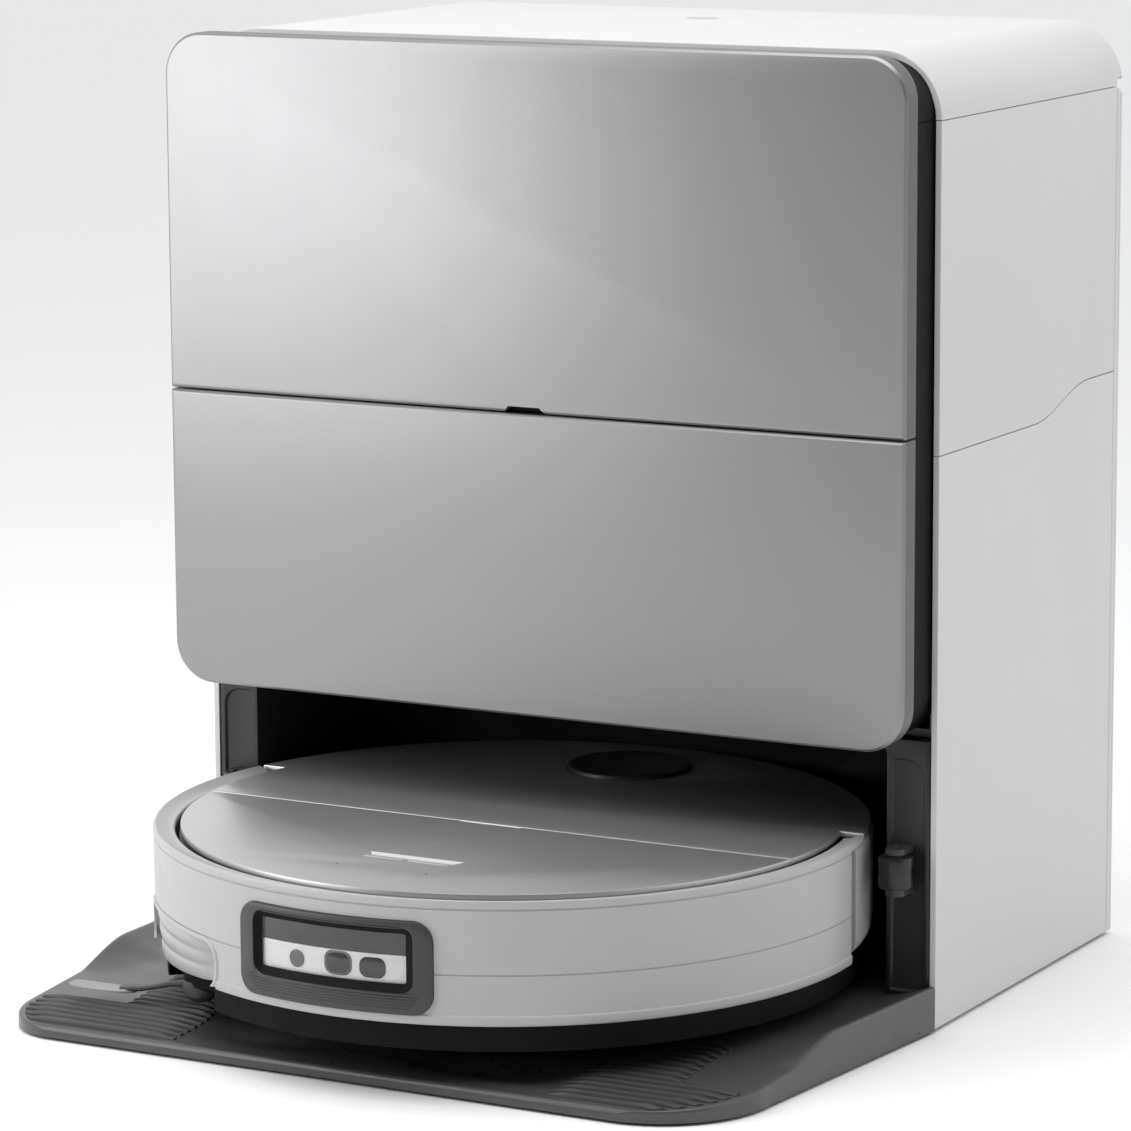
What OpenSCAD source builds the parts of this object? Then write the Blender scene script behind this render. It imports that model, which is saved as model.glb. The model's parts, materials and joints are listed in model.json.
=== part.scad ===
// Robot vacuum cleaner with its docking station, as an assembly of separate pieces.
// Origin: middle of the footprint, on the floor. +Z is up and the robot drives out towards -Y.

/* [Dock] */
// Width over the side panels
dock_w = 406; // [404:0.5:408]
// Height to the top of the lid
dock_h = 470; // [466:1:480]
// Rear face, behind the middle of the footprint
dock_back = 224; // [223:0.5:225]
// Front edge of the side panels and the lid
shell_front = 3; // [2.5:0.5:3.5]
// Front edge of the ramp, ahead of the middle of the footprint
ramp_front = 203; // [201:0.5:204]
// Corner radius of the lid's long edges
lid_round = 32; // [26:1:36]
// Height of the parting line below the lid
lid_seam = 438; // [436:0.5:440]
// Wall of the outer panels
wall = 3; // [2.5:0.1:3]

/* [Doors] */
// Front face of the doors, ahead of the middle of the footprint
door_front = 33.6; // [33:0.2:35]
// Depth of each door's rim
door_deep = 12; // [11:0.5:12.5]
// Height of the parting line between the two doors
door_split = 292; // [288:1:296]
// Bottom edge of the lower door
door_bottom = 143; // [142.6:0.2:144]
// Corner radius of the doors
door_round = 21; // [16:1:24]

/* [Robot] */
// Diameter of the robot over its bumper
robot_d = 350; // [348:0.5:351]
// Centre of the robot ahead of the middle of the footprint
robot_ahead = 47; // [46:0.5:48]
// Height of the robot above its wheels' contact line
robot_h = 80; // [80:0.5:82]
// Height of the wheels' contact line above the floor
robot_lift = 16.5; // [16.4:0.1:17]
// Radius of the front deck plate
deck_r = 161.5; // [160:0.5:162]
// Outer radius of the drive tyres
tyre_r = 30; // [29:0.5:30]
// Outer radius of the main brush
brush_r = 15; // [14.5:0.5:15]
// Radius of a mop pad
pad_r = 61; // [58:0.5:61]
// Outer radius of the lidar turret
turret_r = 31.5; // [30:0.5:31.5]

/* [Hidden] */
$fn = 64;
eps = 0.2;
half_w = dock_w / 2;
floor_half = half_w - wall - 0.4;
floor_top = 16;
ramp_low = 7;
ramp_high = 14.2;
ramp_run = 93;
ramp_tilt = atan((ramp_high - ramp_low) / ramp_run);
ramp_corner = 55;
ramp_shoulder = half_w - 14;
left_corner = 32;
left_shoulder = half_w - 2;
cheek_start = -145;
cheek_end = -85;
cheek = 8;
tread_deep = 1.5;
tread_pitch = 6;
cover_deep = 7;
side_back = dock_back - cover_deep - 0.4;
seam = 0.4;
hinge_y = dock_back - 3.5;
hinge_z = lid_seam;
knuckle_r = 3.5;
relief_r = 4.8;
pin_r = 1.5;
pin_bore = 1.52;
frame_half = half_w - 4;
frame_top = dock_h - 4;
frame_front = 21;
frame_round = 24;
bay_half = 177;
bay_back = 132;
bay_top = 139;
door_y = -door_front;
door_back = door_y + door_deep;
door_half = half_w - 1;
door_pin_y = door_back - 4;
door_pin_z = door_bottom + 5;
roller_x = 186;
roller_y = -6.2;
roller_r = 8.5;
roller_z = 72;
robot_r = robot_d / 2;
bumper_wall = 4;
bumper_low = 21;
bumper_end = 96;
rim_end = 103;
rim_r = deck_r + 2.7;
bezel_half = 17;
bezel_low = 25.5;
bezel_high = 69.5;
bezel_r = robot_r + 2;
deck_split = -21;
deck_skin = 3;
plate_low = 74;
body_r = 162;
pan_low = 8;
pan_high = 11;
wheel_x = 104;
wheel_w = 22;
wheel_y = -20;
axle_r = 4;
pivot_y = 22;
pivot_z = 36;
brush_y = -76;
brush_z = 19.5;
brush_half = 84;
arm_pivot = [-56, -126];
arm_brush = [-106, -118];
mop_x = 62;
mop_y = 72;
turret_y = 122;
caster_y = -132;
button_y = -104.2;

// ---------- shared shapes ----------
module slab(x0, x1, y0, y1, z0, z1) translate([x0, y0, z0]) cube([x1 - x0, y1 - y0, z1 - z0]);
module pair() {
    children();
    mirror([1, 0, 0]) children();
}
module along_y(y0, y1) translate([0, y1, 0]) rotate([90, 0, 0]) linear_extrude(y1 - y0) children();
module along_x(x0, x1) translate([x0, 0, 0]) rotate([90, 0, 90]) linear_extrude(x1 - x0) children();
module rod_x(r, x0, x1, y, z) translate([x0, y, z]) rotate([0, 90, 0]) cylinder(r = r, h = x1 - x0);
module rod_y(r, y0, y1, x, z) translate([x, y1, z]) rotate([90, 0, 0]) cylinder(r = r, h = y1 - y0);
module rod_z(r, z0, z1, x = 0, y = 0) translate([x, y, z0]) cylinder(r = r, h = z1 - z0);
module round_rect(x0, x1, y0, y1, r) {
    translate([x0 + r, y0]) square([x1 - x0 - 2 * r, y1 - y0]);
    translate([x0, y0 + r]) square([x1 - x0, y1 - y0 - 2 * r]);
    for (x = [x0 + r, x1 - r], y = [y0 + r, y1 - r]) translate([x, y]) circle(r = r);
}
// A panel outline with two round corners at its top
module arch(half, z0, z1, r) intersection() {
    round_rect(-half, half, z1 - 3 * r, z1, r);
    translate([-half, z0]) square([2 * half, z1 - z0]);
}
// A ring sector about the robot's centre; angles count from the front, towards +X
module sector(r0, r1, a0, a1, z0, z1)
    rotate([0, 0, a0 - 90]) rotate_extrude(angle = a1 - a0)
        translate([r0, z0]) square([r1 - r0, z1 - z0]);
module in_robot() translate([0, -robot_ahead, robot_lift]) children();

// ---------- ramp and floor ----------
// Plan of one side of the base, drawn in by d on its open edges
function base_side(d, shoulder, corner) = concat(
    [[floor_half - d, side_back], [floor_half - d, shell_front - 0.3], [half_w - d, shell_front - 0.3]],
    [for (a = [0:-10:-90])
        [shoulder - corner + (corner - d) * cos(a), corner - ramp_front + (corner - d) * sin(a)]]);
function mirrored(p) = [for (i = [len(p) - 1:-1:0]) [-p[i][0], p[i][1]]];
// The left shoulder is fuller than the right one, to give the side brush a floor to sweep on
module base_plan(d) polygon(concat(base_side(d, ramp_shoulder, ramp_corner),
    mirrored(base_side(d, left_shoulder, left_corner))));
module floor_profile() polygon([[-ramp_front, 1.5], [-ramp_front, 5.5], [2 - ramp_front, ramp_low],
    [2 - ramp_front + ramp_run, ramp_high], [12 - ramp_front + ramp_run, 15.6],
    [20 - ramp_front + ramp_run, floor_top], [side_back, floor_top], [side_back, 1.5]]);
module cheek_profile() polygon(concat(
    [for (i = [0:10]) [cheek_start + (cheek_end - cheek_start) * i / 10,
        9.5 + 13.5 * (0.5 - 0.5 * cos(18 * i))]],
    [[shell_front - 0.3, 23], [shell_front - 0.3, 1.5], [cheek_start, 1.5]]));
module on_ramp() translate([0, 2 - ramp_front, ramp_low]) rotate([ramp_tilt, 0, 0]) children();
module tread_zone(s, z0, z1) intersection() {
    scale([s, 1, 1]) on_ramp() translate([0, 0, z0]) linear_extrude(z1 - z0)
        polygon([[102, 3], [198, 3], [198, 37], [147, 37], [150, 90], [124, 90], [104, 42]]);
    linear_extrude(60) base_plan(5);
}
module ramp_treads() color([0.16, 0.16, 0.17]) for (s = [-1, 1]) {
    tread_zone(s, -tread_deep, eps);
    intersection() {
        tread_zone(s, -tread_deep, 1.1);
        on_ramp() for (u = [5:tread_pitch:90]) slab(-half_w, half_w, u, u + 3.2, 0, 1.1);
    }
}
foot_places = [[-140, -165], [140, -165], [-175, 190], [175, 190]];
module base_plate() color([0.24, 0.24, 0.25]) difference() {
    union() {
        intersection() {
            along_x(-half_w, half_w) floor_profile();
            linear_extrude(40) base_plan(0);
        }
        intersection() {
            along_x(-half_w, half_w) cheek_profile();
            linear_extrude(40) difference() {
                base_plan(0);
                base_plan(cheek);
            }
        }
    }
    slab(-150, 150, -12, 118, 9, 20);
    for (s = [-1, 1]) tread_zone(s, -tread_deep, 5);
    slab(-175, 175, -100, -18, 1, 12.5);
    slab(-190, 190, 124, 180, 1, 12.5);
    for (p = foot_places) rod_z(9, 1, 2.5, p[0], p[1]);
}
module feet() color([0.1, 0.1, 0.1]) for (p = foot_places) rod_z(9, 0, 2.5, p[0], p[1]);
module wash_tray() color([0.3, 0.3, 0.31]) {
    difference() {
        slab(-149.7, 149.7, -11.7, 117.7, 9, 15.4);
        slab(-146, 146, -8, 114, 11.4, 17);
    }
    for (y = [6:16:102]) slab(-130, 130, y, y + 4, 11.4, 14.6);
}

// ---------- dock body ----------
module bay_liner() color([0.15, 0.15, 0.16]) difference() {
    union() {
        translate([0, 0, floor_top]) linear_extrude(bay_top - floor_top) difference() {
            translate([-floor_half, shell_front]) square([2 * floor_half, bay_back + 3.5 - shell_front]);
            round_rect(-bay_half, bay_half, -60, bay_back, 28);
        }
        slab(-floor_half, floor_half, shell_front, bay_back + 3.5, bay_top, bay_top + 3.4);
    }
    pair() slab(bay_half + 3.5, half_w, shell_front + 4, bay_back - 30, floor_top + 3, bay_top - 3);
    pair() rod_y(4.05, 120, 140, 29, 52.5);
}
module roller_brackets() color([0.14, 0.14, 0.15]) pair() {
    for (z = [roller_z - 3.5, roller_z + 16.5]) {
        slab(roller_x - 5, roller_x + 5, roller_y, shell_front, z, z + 3);
        rod_z(5, z, z + 3, roller_x, roller_y);
    }
    rod_z(1.5, roller_z - 3.5, roller_z + 20.5, roller_x, roller_y);
}
module guide_roller(s) color([0.2, 0.2, 0.21]) translate([s * roller_x, roller_y, roller_z])
    rotate_extrude() polygon([[1.55, 0], [roller_r - 1, 0], [roller_r, 1.5], [roller_r, 14.5],
        [roller_r - 1, 16], [1.55, 16]]);
module frame_outline(d) round_rect(-frame_half + d, frame_half - d, door_bottom + d, frame_top - d,
    frame_round - d);
module above(z) intersection() {
    children();
    slab(-half_w, half_w, -60, 60, z, dock_h + 1);
}
module below(z) intersection() {
    children();
    slab(-half_w, half_w, -60, 60, 0, z);
}
module front_frame() color([0.09, 0.09, 0.1]) {
    below(lid_seam - eps) {
        along_y(-frame_front, 12) difference() {
            frame_outline(0);
            frame_outline(5);
        }
        along_y(-frame_front, 3 - frame_front) difference() {
            frame_outline(5);
            round_rect(-165, 165, 162, 278, 8);
        }
    }
    for (x = [-156, 148]) difference() {
        union() {
            rod_x(3.4, x, x + 8, door_pin_y, door_pin_z);
            slab(x, x + 8, door_pin_y, 1 - frame_front, door_pin_z - 3.4, door_pin_z + 3.4);
        }
        rod_x(pin_bore, x - 1, x + 9, door_pin_y, door_pin_z);
    }
}
module lid_bezel() color([0.09, 0.09, 0.1]) above(lid_seam + eps) {
    along_y(-frame_front, -1) difference() {
        frame_outline(0);
        frame_outline(5);
    }
    along_y(-1, shell_front) frame_outline(0);
    along_y(shell_front, shell_front + 7) difference() {
        arch(half_w - wall, lid_seam, dock_h - wall, lid_round - wall);
        arch(half_w - 2 * wall, lid_seam, dock_h - 2 * wall, lid_round - 2 * wall);
    }
}
module door_plate(z0, z1, top, low) intersection() {
    round_rect(-door_half, door_half, z0 - (low ? 0 : 60), z1 + (top ? 0 : 60), door_round);
    translate([-door_half, z0]) square([2 * door_half, z1 - z0]);
}
module upper_door() color("silver") difference() {
    along_y(door_y, door_back) door_plate(door_split + seam, dock_h, true, false);
    along_y(door_y + 2.5, door_back + 1) round_rect(-door_half + 5, door_half - 5,
        door_split + 6, dock_h - 5, door_round - 5);
    slab(-11, 11, door_y - 1, door_y + 7, door_split - 1, door_split + 3);
}
module lower_door() color("silver") difference() {
    union() {
        difference() {
            along_y(door_y, door_back) door_plate(door_bottom, door_split - seam, false, true);
            along_y(door_y + 2.5, door_back + 1) round_rect(-door_half + 5, door_half - 5,
                door_bottom + 12, door_split - 6, 8);
            slab(-half_w, half_w, door_pin_y, door_back + 1, door_bottom - 1, door_pin_z);
        }
        rod_x(4, 20 - door_half, door_half - 20, door_pin_y, door_pin_z);
    }
    for (x = [-156.5, 147.5]) {
        slab(x, x + 9, door_pin_y - 4.2, door_back + 1, door_bottom - 1, door_pin_z + 4.2);
        rod_x(1.55, x - 12, x + 21, door_pin_y, door_pin_z);
    }
}
module lid() color([0.9, 0.9, 0.9]) difference() {
    union() {
        difference() {
            along_y(shell_front, dock_back) arch(half_w, lid_seam + eps, dock_h, lid_round);
            along_y(shell_front - 1, dock_back - wall)
                arch(half_w - wall, lid_seam - 20, dock_h - wall, lid_round - wall);
            rod_x(relief_r, -half_w - 1, half_w + 1, hinge_y, hinge_z);
        }
        pair() {
            rod_x(knuckle_r, 110, 124, hinge_y, hinge_z);
            slab(110, 124, hinge_y - 2.5, hinge_y + 0.5, hinge_z, hinge_z + 9);
        }
    }
    pair() rod_x(pin_bore, 109, 125, hinge_y, hinge_z);
}
module hinge_pins() color([0.7, 0.7, 0.72]) pair() {
    rod_x(pin_r, 96, 138, hinge_y, hinge_z);
    rod_x(pin_r, 140, 164, door_pin_y, door_pin_z);
}

// The wavy parting line of the side panels, from the front edge to the back
function wave(y) = y < 116 ? 280 : y > 184 ? 294 : 287 - 7 * cos((y - 116) * 180 / 68);
wave_ys = concat([shell_front], [for (y = [116:6.8:184]) y], [side_back]);
module side_lower(s) color([0.88, 0.88, 0.88]) scale([s, 1, 1]) along_x(half_w - wall, half_w)
    polygon(concat([for (y = wave_ys) [y, wave(y) - eps]], [[side_back, 2], [shell_front, 2]]));
module side_upper(s) color([0.9, 0.9, 0.9]) scale([s, 1, 1]) along_x(half_w - wall, half_w)
    polygon(concat([for (y = wave_ys) [y, wave(y) + eps]],
        [[side_back, lid_seam - eps], [shell_front, lid_seam - eps]]));
screw_places = [for (z = [30, 220, 410], x = [-185, 185]) [x, z]];
module rear_cover() color([0.86, 0.86, 0.86]) difference() {
    union() {
        difference() {
            union() {
                slab(-half_w, half_w, dock_back - wall, dock_back, 2, lid_seam - eps);
                pair() slab(half_w - wall, half_w, dock_back - cover_deep, dock_back - wall, 2,
                    lid_seam - eps);
            }
            rod_x(relief_r, -half_w - 1, half_w + 1, hinge_y, hinge_z);
        }
        pair() for (x = [94, 124.6]) {
            rod_x(knuckle_r, x, x + 15.4, hinge_y, hinge_z);
            slab(x, x + 15.4, hinge_y - 3.5, hinge_y + 0.5, hinge_z - 12, hinge_z);
        }
    }
    pair() rod_x(pin_bore, 93, 141, hinge_y, hinge_z);
    for (p = screw_places) rod_y(4, dock_back - 1.5, dock_back + 1, p[0], p[1]);
    slab(-164, -136, dock_back - 5, dock_back + 1, 30, 50);
    for (i = [0:7]) slab(60, 150, dock_back - 5, dock_back + 1, 60 + 8 * i, 63 + 8 * i);
}
module cover_screws() color([0.6, 0.6, 0.62]) for (p = screw_places)
    rod_y(3.5, dock_back - 1.5, dock_back - 0.3, p[0], p[1]);
module inner_frame() color([0.35, 0.36, 0.38]) difference() {
    slab(-floor_half, floor_half, 12.2, side_back, bay_top + 3.6, lid_seam - 1);
    slab(-195, 195, 0, 212, 146.6, 288);
    slab(-195, 195, 16, 212, 292, dock_h);
}
module clean_tank() color([0.75, 0.8, 0.85]) tank(-193, -3);
module dirty_tank() color([0.5, 0.5, 0.52]) tank(3, 193);
module tank_lids() color([0.3, 0.32, 0.35]) {
    tank_lid(-193, -3);
    tank_lid(3, 193);
}
module tank(x0, x1) difference() {
    translate([0, 0, 292.2]) linear_extrude(126) round_rect(x0, x1, 18, 210, 14);
    translate([0, 0, 295]) linear_extrude(130) round_rect(x0 + 2.5, x1 - 2.5, 20.5, 207.5, 11.5);
}
module tank_lid(x0, x1) {
    translate([0, 0, 418.2]) linear_extrude(5) round_rect(x0, x1, 18, 210, 14);
    xm = (x0 + x1) / 2;
    for (x = [xm - 50, xm + 44]) slab(x, x + 6, 108, 120, 423, 434);
    slab(xm - 50, xm + 50, 108, 120, 430, 434);
}
module dust_bag() color([0.85, 0.84, 0.8]) translate([0, 0, 148]) linear_extrude(134)
    round_rect(-188, -8, 26, 206, 22);
module dust_fan() color([0.2, 0.2, 0.2]) {
    rod_z(52, 147, 225, 95, 110);
    rod_z(30, 225, 262, 95, 110);
}
module pump_unit() color([0.3, 0.32, 0.35]) {
    slab(-60, 0, 150, 200, floor_top + eps, 60);
    rod_z(18, 60, 100, -30, 175);
}
module mains_board() color([0.1, 0.35, 0.2]) {
    slab(30, 185, 142, 206, 24, 26);
    slab(40, 80, 150, 190, 26, 60);
    for (x = [100, 130, 160]) rod_z(10, 26, 56, x, 170);
    for (x = [34, 180], y = [146, 202]) rod_z(3, floor_top + eps, 24, x, y);
}
module power_inlet() color([0.08, 0.08, 0.08]) {
    difference() {
        slab(-163.8, -136.2, dock_back - 24, dock_back - 0.5, 30.2, 49.8);
        slab(-160, -140, dock_back - 18, dock_back, 34, 46);
    }
    for (x = [-154.3, -145.7]) rod_y(1.2, dock_back - 19, dock_back - 5, x, 40);
}
module charge_contacts() color([0.75, 0.7, 0.6]) pair() {
    rod_y(4, 127.4, 141, 29, 52.5);
    rod_y(7, 138.7, 141, 29, 52.5);
}

// ---------- robot ----------
module brush_tunnel() difference() {
    rod_x(brush_r + 5, -92, 92, brush_y, brush_z);
    rod_x(brush_r + 2, -88, 88, brush_y, brush_z);
    slab(-95, 95, brush_y - 30, brush_y + 30, -10, pan_high - 0.5);
    rod_x(3.05, -93, 93, brush_y, brush_z);
}
module robot_pan() color([0.17, 0.17, 0.18]) in_robot() difference() {
    union() {
        rod_z(169, pan_low, pan_high);
        difference() {
            rod_z(169, pan_high, 20);
            rod_z(165.5, pan_high - 1, 21);
        }
        rod_z(20, pan_high, 34, 0, caster_y);
        brush_tunnel();
    }
    pair() slab(98, 136, -54, 14, pan_low - 1, pan_high + 1);
    slab(-92, 92, brush_y - 20, brush_y + 20, pan_low - 1, pan_high + 1);
    pair() rod_z(63.5, pan_low - 1, pan_high + 1, mop_x, mop_y);
    rod_z(17, pan_low - 1, 20.4, 0, caster_y);
    rod_z(5.05, 20, 35, 0, caster_y);
    rod_z(34, pan_low - 1, 21, -106, -126);
    slab(-106, -56, -150, -104, pan_low - 1, 21);
    rod_z(16, pan_low - 1, 21, arm_pivot[0], arm_pivot[1]);
}
module robot_body() color([0.28, 0.28, 0.3]) in_robot() {
    difference() {
        union() {
            difference() {
                rod_z(body_r, pan_high, plate_low);
                rod_z(body_r - 4.5, pan_high - 1, 70);
            }
            rod_z(turret_r + 3.2, 54, 70, 0, turret_y);
            rod_z(12, pan_high, 44, arm_pivot[0], arm_pivot[1]);
            rod_z(10, 44, 70, arm_pivot[0], arm_pivot[1]);
            pair() slab(84, 91, pivot_y - 7, pivot_y + 7, 28, 70);
        }
        rod_z(turret_r + 0.5, 50, plate_low + 1, 0, turret_y);
        rod_z(16, pan_high - 1, 42.6, arm_pivot[0], arm_pivot[1]);
        rod_z(38, pan_high - 1, 44, -106, -128);
        pair() rod_x(3.02, 83, 92, pivot_y, pivot_z);
        slab(-76, 76, -50, 6, 69, plate_low + 1);
    }
    rod_z(4.95, 12, 45, arm_pivot[0], arm_pivot[1]);
}
module tube(r0, r1, z0, z1) difference() {
    rod_z(r1, z0, z1);
    rod_z(r0, z0 - 1, z1 + 1);
}
module robot_skirt() color([0.9, 0.9, 0.9]) in_robot() {
    difference() {
        tube(robot_r - 3.8, robot_r, 23, 76.8);
        slab(-200, 200, -200, 22.5, 0, 100);
    }
    difference() {
        tube(body_r, robot_r - 3, 23, 26);
        slab(-200, 200, -200, 42, 0, 100);
    }
    pair() intersection() {
        tube(167.5, 170.2, 23.5, 76.3);
        slab(100, 180, -18, 42, 0, 100);
    }
    pair() slab(168, 171.8, 24, 32, 24, 76);
    pair() intersection() {
        tube(172, robot_r + 0.6, 30, 42);
        slab(20, 38, 150, 190, 0, 100);
    }
}
module deck_front() color("silver") in_robot() difference() {
    intersection() {
        difference() {
            rod_z(deck_r, plate_low + eps, robot_h);
            rod_z(deck_r - 3.5, plate_low - 1, robot_h - deck_skin);
        }
        slab(-200, 200, -200, deck_split - 0.3, 60, 100);
    }
    slab(-24, 24, button_y - 3, button_y + 3, 70, robot_h + 1);
    slab(-24, 24, button_y + 2, button_y + 7, robot_h - 1.6, robot_h + 1);
    slab(-17, 17, deck_split - 3, deck_split + 1, robot_h - 1.6, robot_h + 1);
    for (p = [[-24, -126], [24, -126], [0, -76]]) rod_z(0.9, 70, robot_h + 1, p[0], p[1]);
}
module deck_rear() color([0.6, 0.6, 0.61]) in_robot() difference() {
    union() {
        intersection() {
            difference() {
                rod_z(deck_r, plate_low + eps, robot_h);
                rod_z(deck_r - 3.5, plate_low - 1, robot_h - deck_skin);
            }
            slab(-200, 200, deck_split + 0.3, 200, 60, 100);
        }
        intersection() {
            rod_z(robot_r - 1.2, robot_h - deck_skin, robot_h);
            slab(-200, 200, 42, 200, 60, 100);
        }
    }
    rod_z(turret_r + 0.5, 50, 100, 0, turret_y);
}
module dustbin() color([0.4, 0.42, 0.46]) in_robot() difference() {
    slab(-75, 75, -49, 5, pan_high + eps, 72);
    slab(-72, 72, -46, 2, pan_high + 3, 66);
    slab(-40, 40, -52, -45, 30, 46);
}
module suction_fan() color([0.15, 0.15, 0.16]) in_robot() {
    rod_z(18, 28, 56, 0, 26);
    rod_z(10, 56, 69.8, 0, 26);
}
module battery() color([0.12, 0.2, 0.35]) in_robot() slab(-75, 75, 50, 86, 54, 69.8);
module robot_board() color([0.1, 0.35, 0.2]) in_robot() {
    slab(-38, 68, -138, -98, 50, 52);
    for (x = [-20, 12, 44]) slab(x - 9, x + 9, -128, -110, 52, 55);
    for (x = [-33, 63], y = [-133, -103]) rod_z(3, 52, 70, x, y);
}
module turret() color([0.2, 0.2, 0.21]) in_robot() translate([0, turret_y, 0]) {
    difference() {
        rod_z(turret_r, 53, 57);
        rod_z(4.05, 52, 58);
    }
    for (a = [30, 150, 270]) rotate([0, 0, a]) rod_z(2.2, 57, 79.2, 28.5, 0);
    rod_z(turret_r, 79.2, robot_h + 2);
}
module lidar_head() color([0.05, 0.05, 0.06]) in_robot() translate([0, turret_y, 0]) difference() {
    union() {
        rod_z(4, 52.8, 58);
        rod_z(24.5, 57.4, 78.4);
    }
    slab(-8, 8, -30, -19, 62, 74);
}
module button(x0) color([0.93, 0.93, 0.93]) in_robot()
    slab(x0, x0 + 22.6, button_y - 2.6, button_y + 2.6, plate_low + 1.3, robot_h - 0.3);

module bumper() color([0.92, 0.92, 0.92]) in_robot() difference() {
    union() {
        sector(robot_r - bumper_wall, robot_r, -bumper_end, bumper_end, bumper_low, robot_h);
        sector(rim_r, robot_r, -rim_end, rim_end, robot_h - 2.7, robot_h);
    }
    sector(robot_r - 8, robot_r + 5, -bezel_half, bezel_half, bezel_low, bezel_high);
    sector(robot_r - 8, robot_r + 5, -59, -24, bumper_low - 1, 43);
}
module sensor_bezel() color([0.16, 0.16, 0.17]) in_robot() difference() {
    sector(robot_r - bumper_wall, bezel_r, -bezel_half, bezel_half, bezel_low, bezel_high);
    sector(robot_r - 8, robot_r + 5, -13, 13, 39, 64);
}
module sensor_window() color([0.5, 0.5, 0.52, 0.5]) in_robot()
    sector(robot_r - 1.5, robot_r, -13, 13, 39, 64);
module sensor_lenses() color([0.1, 0.1, 0.12]) in_robot() {
    sector(robot_r - bumper_wall, robot_r - 3, -13, 13, 39, 64);
    for (a = [-6, 1.5, 7.5]) rotate([0, 0, a]) rod_y(4.2, -robot_r + 1.8, -robot_r + 3.4, 0, 47);
}

module wheel(s) in_robot() scale([s, 1, 1]) {
    color([0.2, 0.2, 0.2]) difference() {
        union() {
            rod_x(tyre_r - 1.5, wheel_x, wheel_x + wheel_w, wheel_y, tyre_r);
            for (a = [0:15:345]) translate([0, wheel_y, tyre_r]) rotate([a, 0, 0])
                slab(wheel_x + 1, wheel_x + wheel_w - 1, -1.6, 1.6, tyre_r - 4, tyre_r - 0.05);
        }
        rod_x(axle_r + 0.05, wheel_x - 1, wheel_x + wheel_w + 1, wheel_y, tyre_r);
        rod_x(20, wheel_x + wheel_w - 4, wheel_x + wheel_w + 1, wheel_y, tyre_r);
    }
}
module wheel_arm(s) color([0.35, 0.35, 0.37]) in_robot() scale([s, 1, 1]) {
    slab(92, 103.4, wheel_y - 12, pivot_y + 8, 25, 46);
    rod_x(axle_r, 100, wheel_x + wheel_w - 4.5, wheel_y, tyre_r);
    rod_x(3, 84, 93, pivot_y, pivot_z);
}
module caster_fork() color([0.4, 0.4, 0.42]) in_robot() translate([0, caster_y, 0]) {
    rod_z(15, 19, 20.2 - eps);
    rod_z(5, 19, 33);
    pair() slab(6.4, 9, -6, 11, 6, 19);
    rod_x(2, -9, 9, 6, 9);
}
module caster_wheel() color([0.12, 0.12, 0.12]) in_robot() difference() {
    rod_x(9, -6, 6, caster_y + 6, 9);
    rod_x(2.05, -7, 7, caster_y + 6, 9);
}
module main_brush() color([0.3, 0.3, 0.32]) in_robot() {
    rod_x(3, -91, 91, brush_y, brush_z);
    rod_x(9, -brush_half, brush_half, brush_y, brush_z);
    for (a = [0:60:300]) translate([0, brush_y, brush_z]) rotate([a, 0, 0])
        slab(-brush_half, brush_half, -1.2, 1.2, 8, brush_r);
}
module brush_guard() color([0.2, 0.2, 0.21]) in_robot() difference() {
    slab(-96, 96, brush_y - 24, brush_y + 24, 5, pan_low);
    slab(-86, 86, brush_y - 18, brush_y + 18, 4, 9);
}
module side_brush_arm() color([0.85, 0.85, 0.86]) in_robot() difference() {
    union() {
        intersection() {
            rod_z(22, 9, 40, arm_brush[0], arm_brush[1]);
            rod_z(robot_r - 1, 0, 60);
        }
        rod_z(14, 12, 42, arm_pivot[0], arm_pivot[1]);
        slab(-96, -58, -136, -112, 14, 40);
    }
    rod_z(5, 11, 43, arm_pivot[0], arm_pivot[1]);
    rod_z(5, 8, 34, arm_brush[0], arm_brush[1]);
}
module side_brush() color([0.6, 0.6, 0.6]) in_robot()
    translate([arm_brush[0], arm_brush[1], 0]) {
        rod_z(4.95, 5, 33);
        rod_z(9, 1.8, 8.6);
        for (a = [0, 180]) rotate([0, 0, a]) {
            slab(-42, -6, -4, 4, 1.8, 4.2);
            slab(-76, -40, -5, 7, 0.6, 2.8);
        }
    }
module mop_carriage() color([0.25, 0.25, 0.27]) in_robot() difference() {
    union() {
        slab(-90, 90, mop_y - 22, mop_y + 20, 34, 42);
        pair() rod_z(12, 28, 34, mop_x, mop_y);
    }
    pair() rod_z(6.05, 27, 40, mop_x, mop_y);
}
module mop(s) in_robot() translate([s * mop_x, mop_y, 0]) {
    color([0.75, 0.76, 0.8]) rod_z(pad_r, 1.2, 8);
    color([0.25, 0.25, 0.27]) {
        rod_z(pad_r - 5, 8, 11);
        rod_z(6, 11, 39.6);
    }
}

base_plate();
ramp_treads();
feet();
wash_tray();
bay_liner();
front_frame();
upper_door();
lower_door();
lid();
lid_bezel();
hinge_pins();
side_upper(-1);  // side_upper_left
side_upper(1);  // side_upper_right
side_lower(-1);  // side_lower_left
side_lower(1);  // side_lower_right
rear_cover();
cover_screws();
inner_frame();
clean_tank();
dirty_tank();
tank_lids();
dust_bag();
dust_fan();
pump_unit();
mains_board();
power_inlet();
charge_contacts();
guide_roller(-1);  // guide_roller_left
guide_roller(1);  // guide_roller_right
roller_brackets();
robot_pan();
robot_body();
robot_skirt();
deck_front();
deck_rear();
dustbin();
suction_fan();
battery();
robot_board();
turret();
lidar_head();
button(0.7);  // power_button
button(-23.3);  // home_button
bumper();
sensor_bezel();
sensor_window();
sensor_lenses();
wheel(-1);  // wheel_left
wheel(1);  // wheel_right
wheel_arm(-1);  // wheel_arm_left
wheel_arm(1);  // wheel_arm_right
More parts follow.
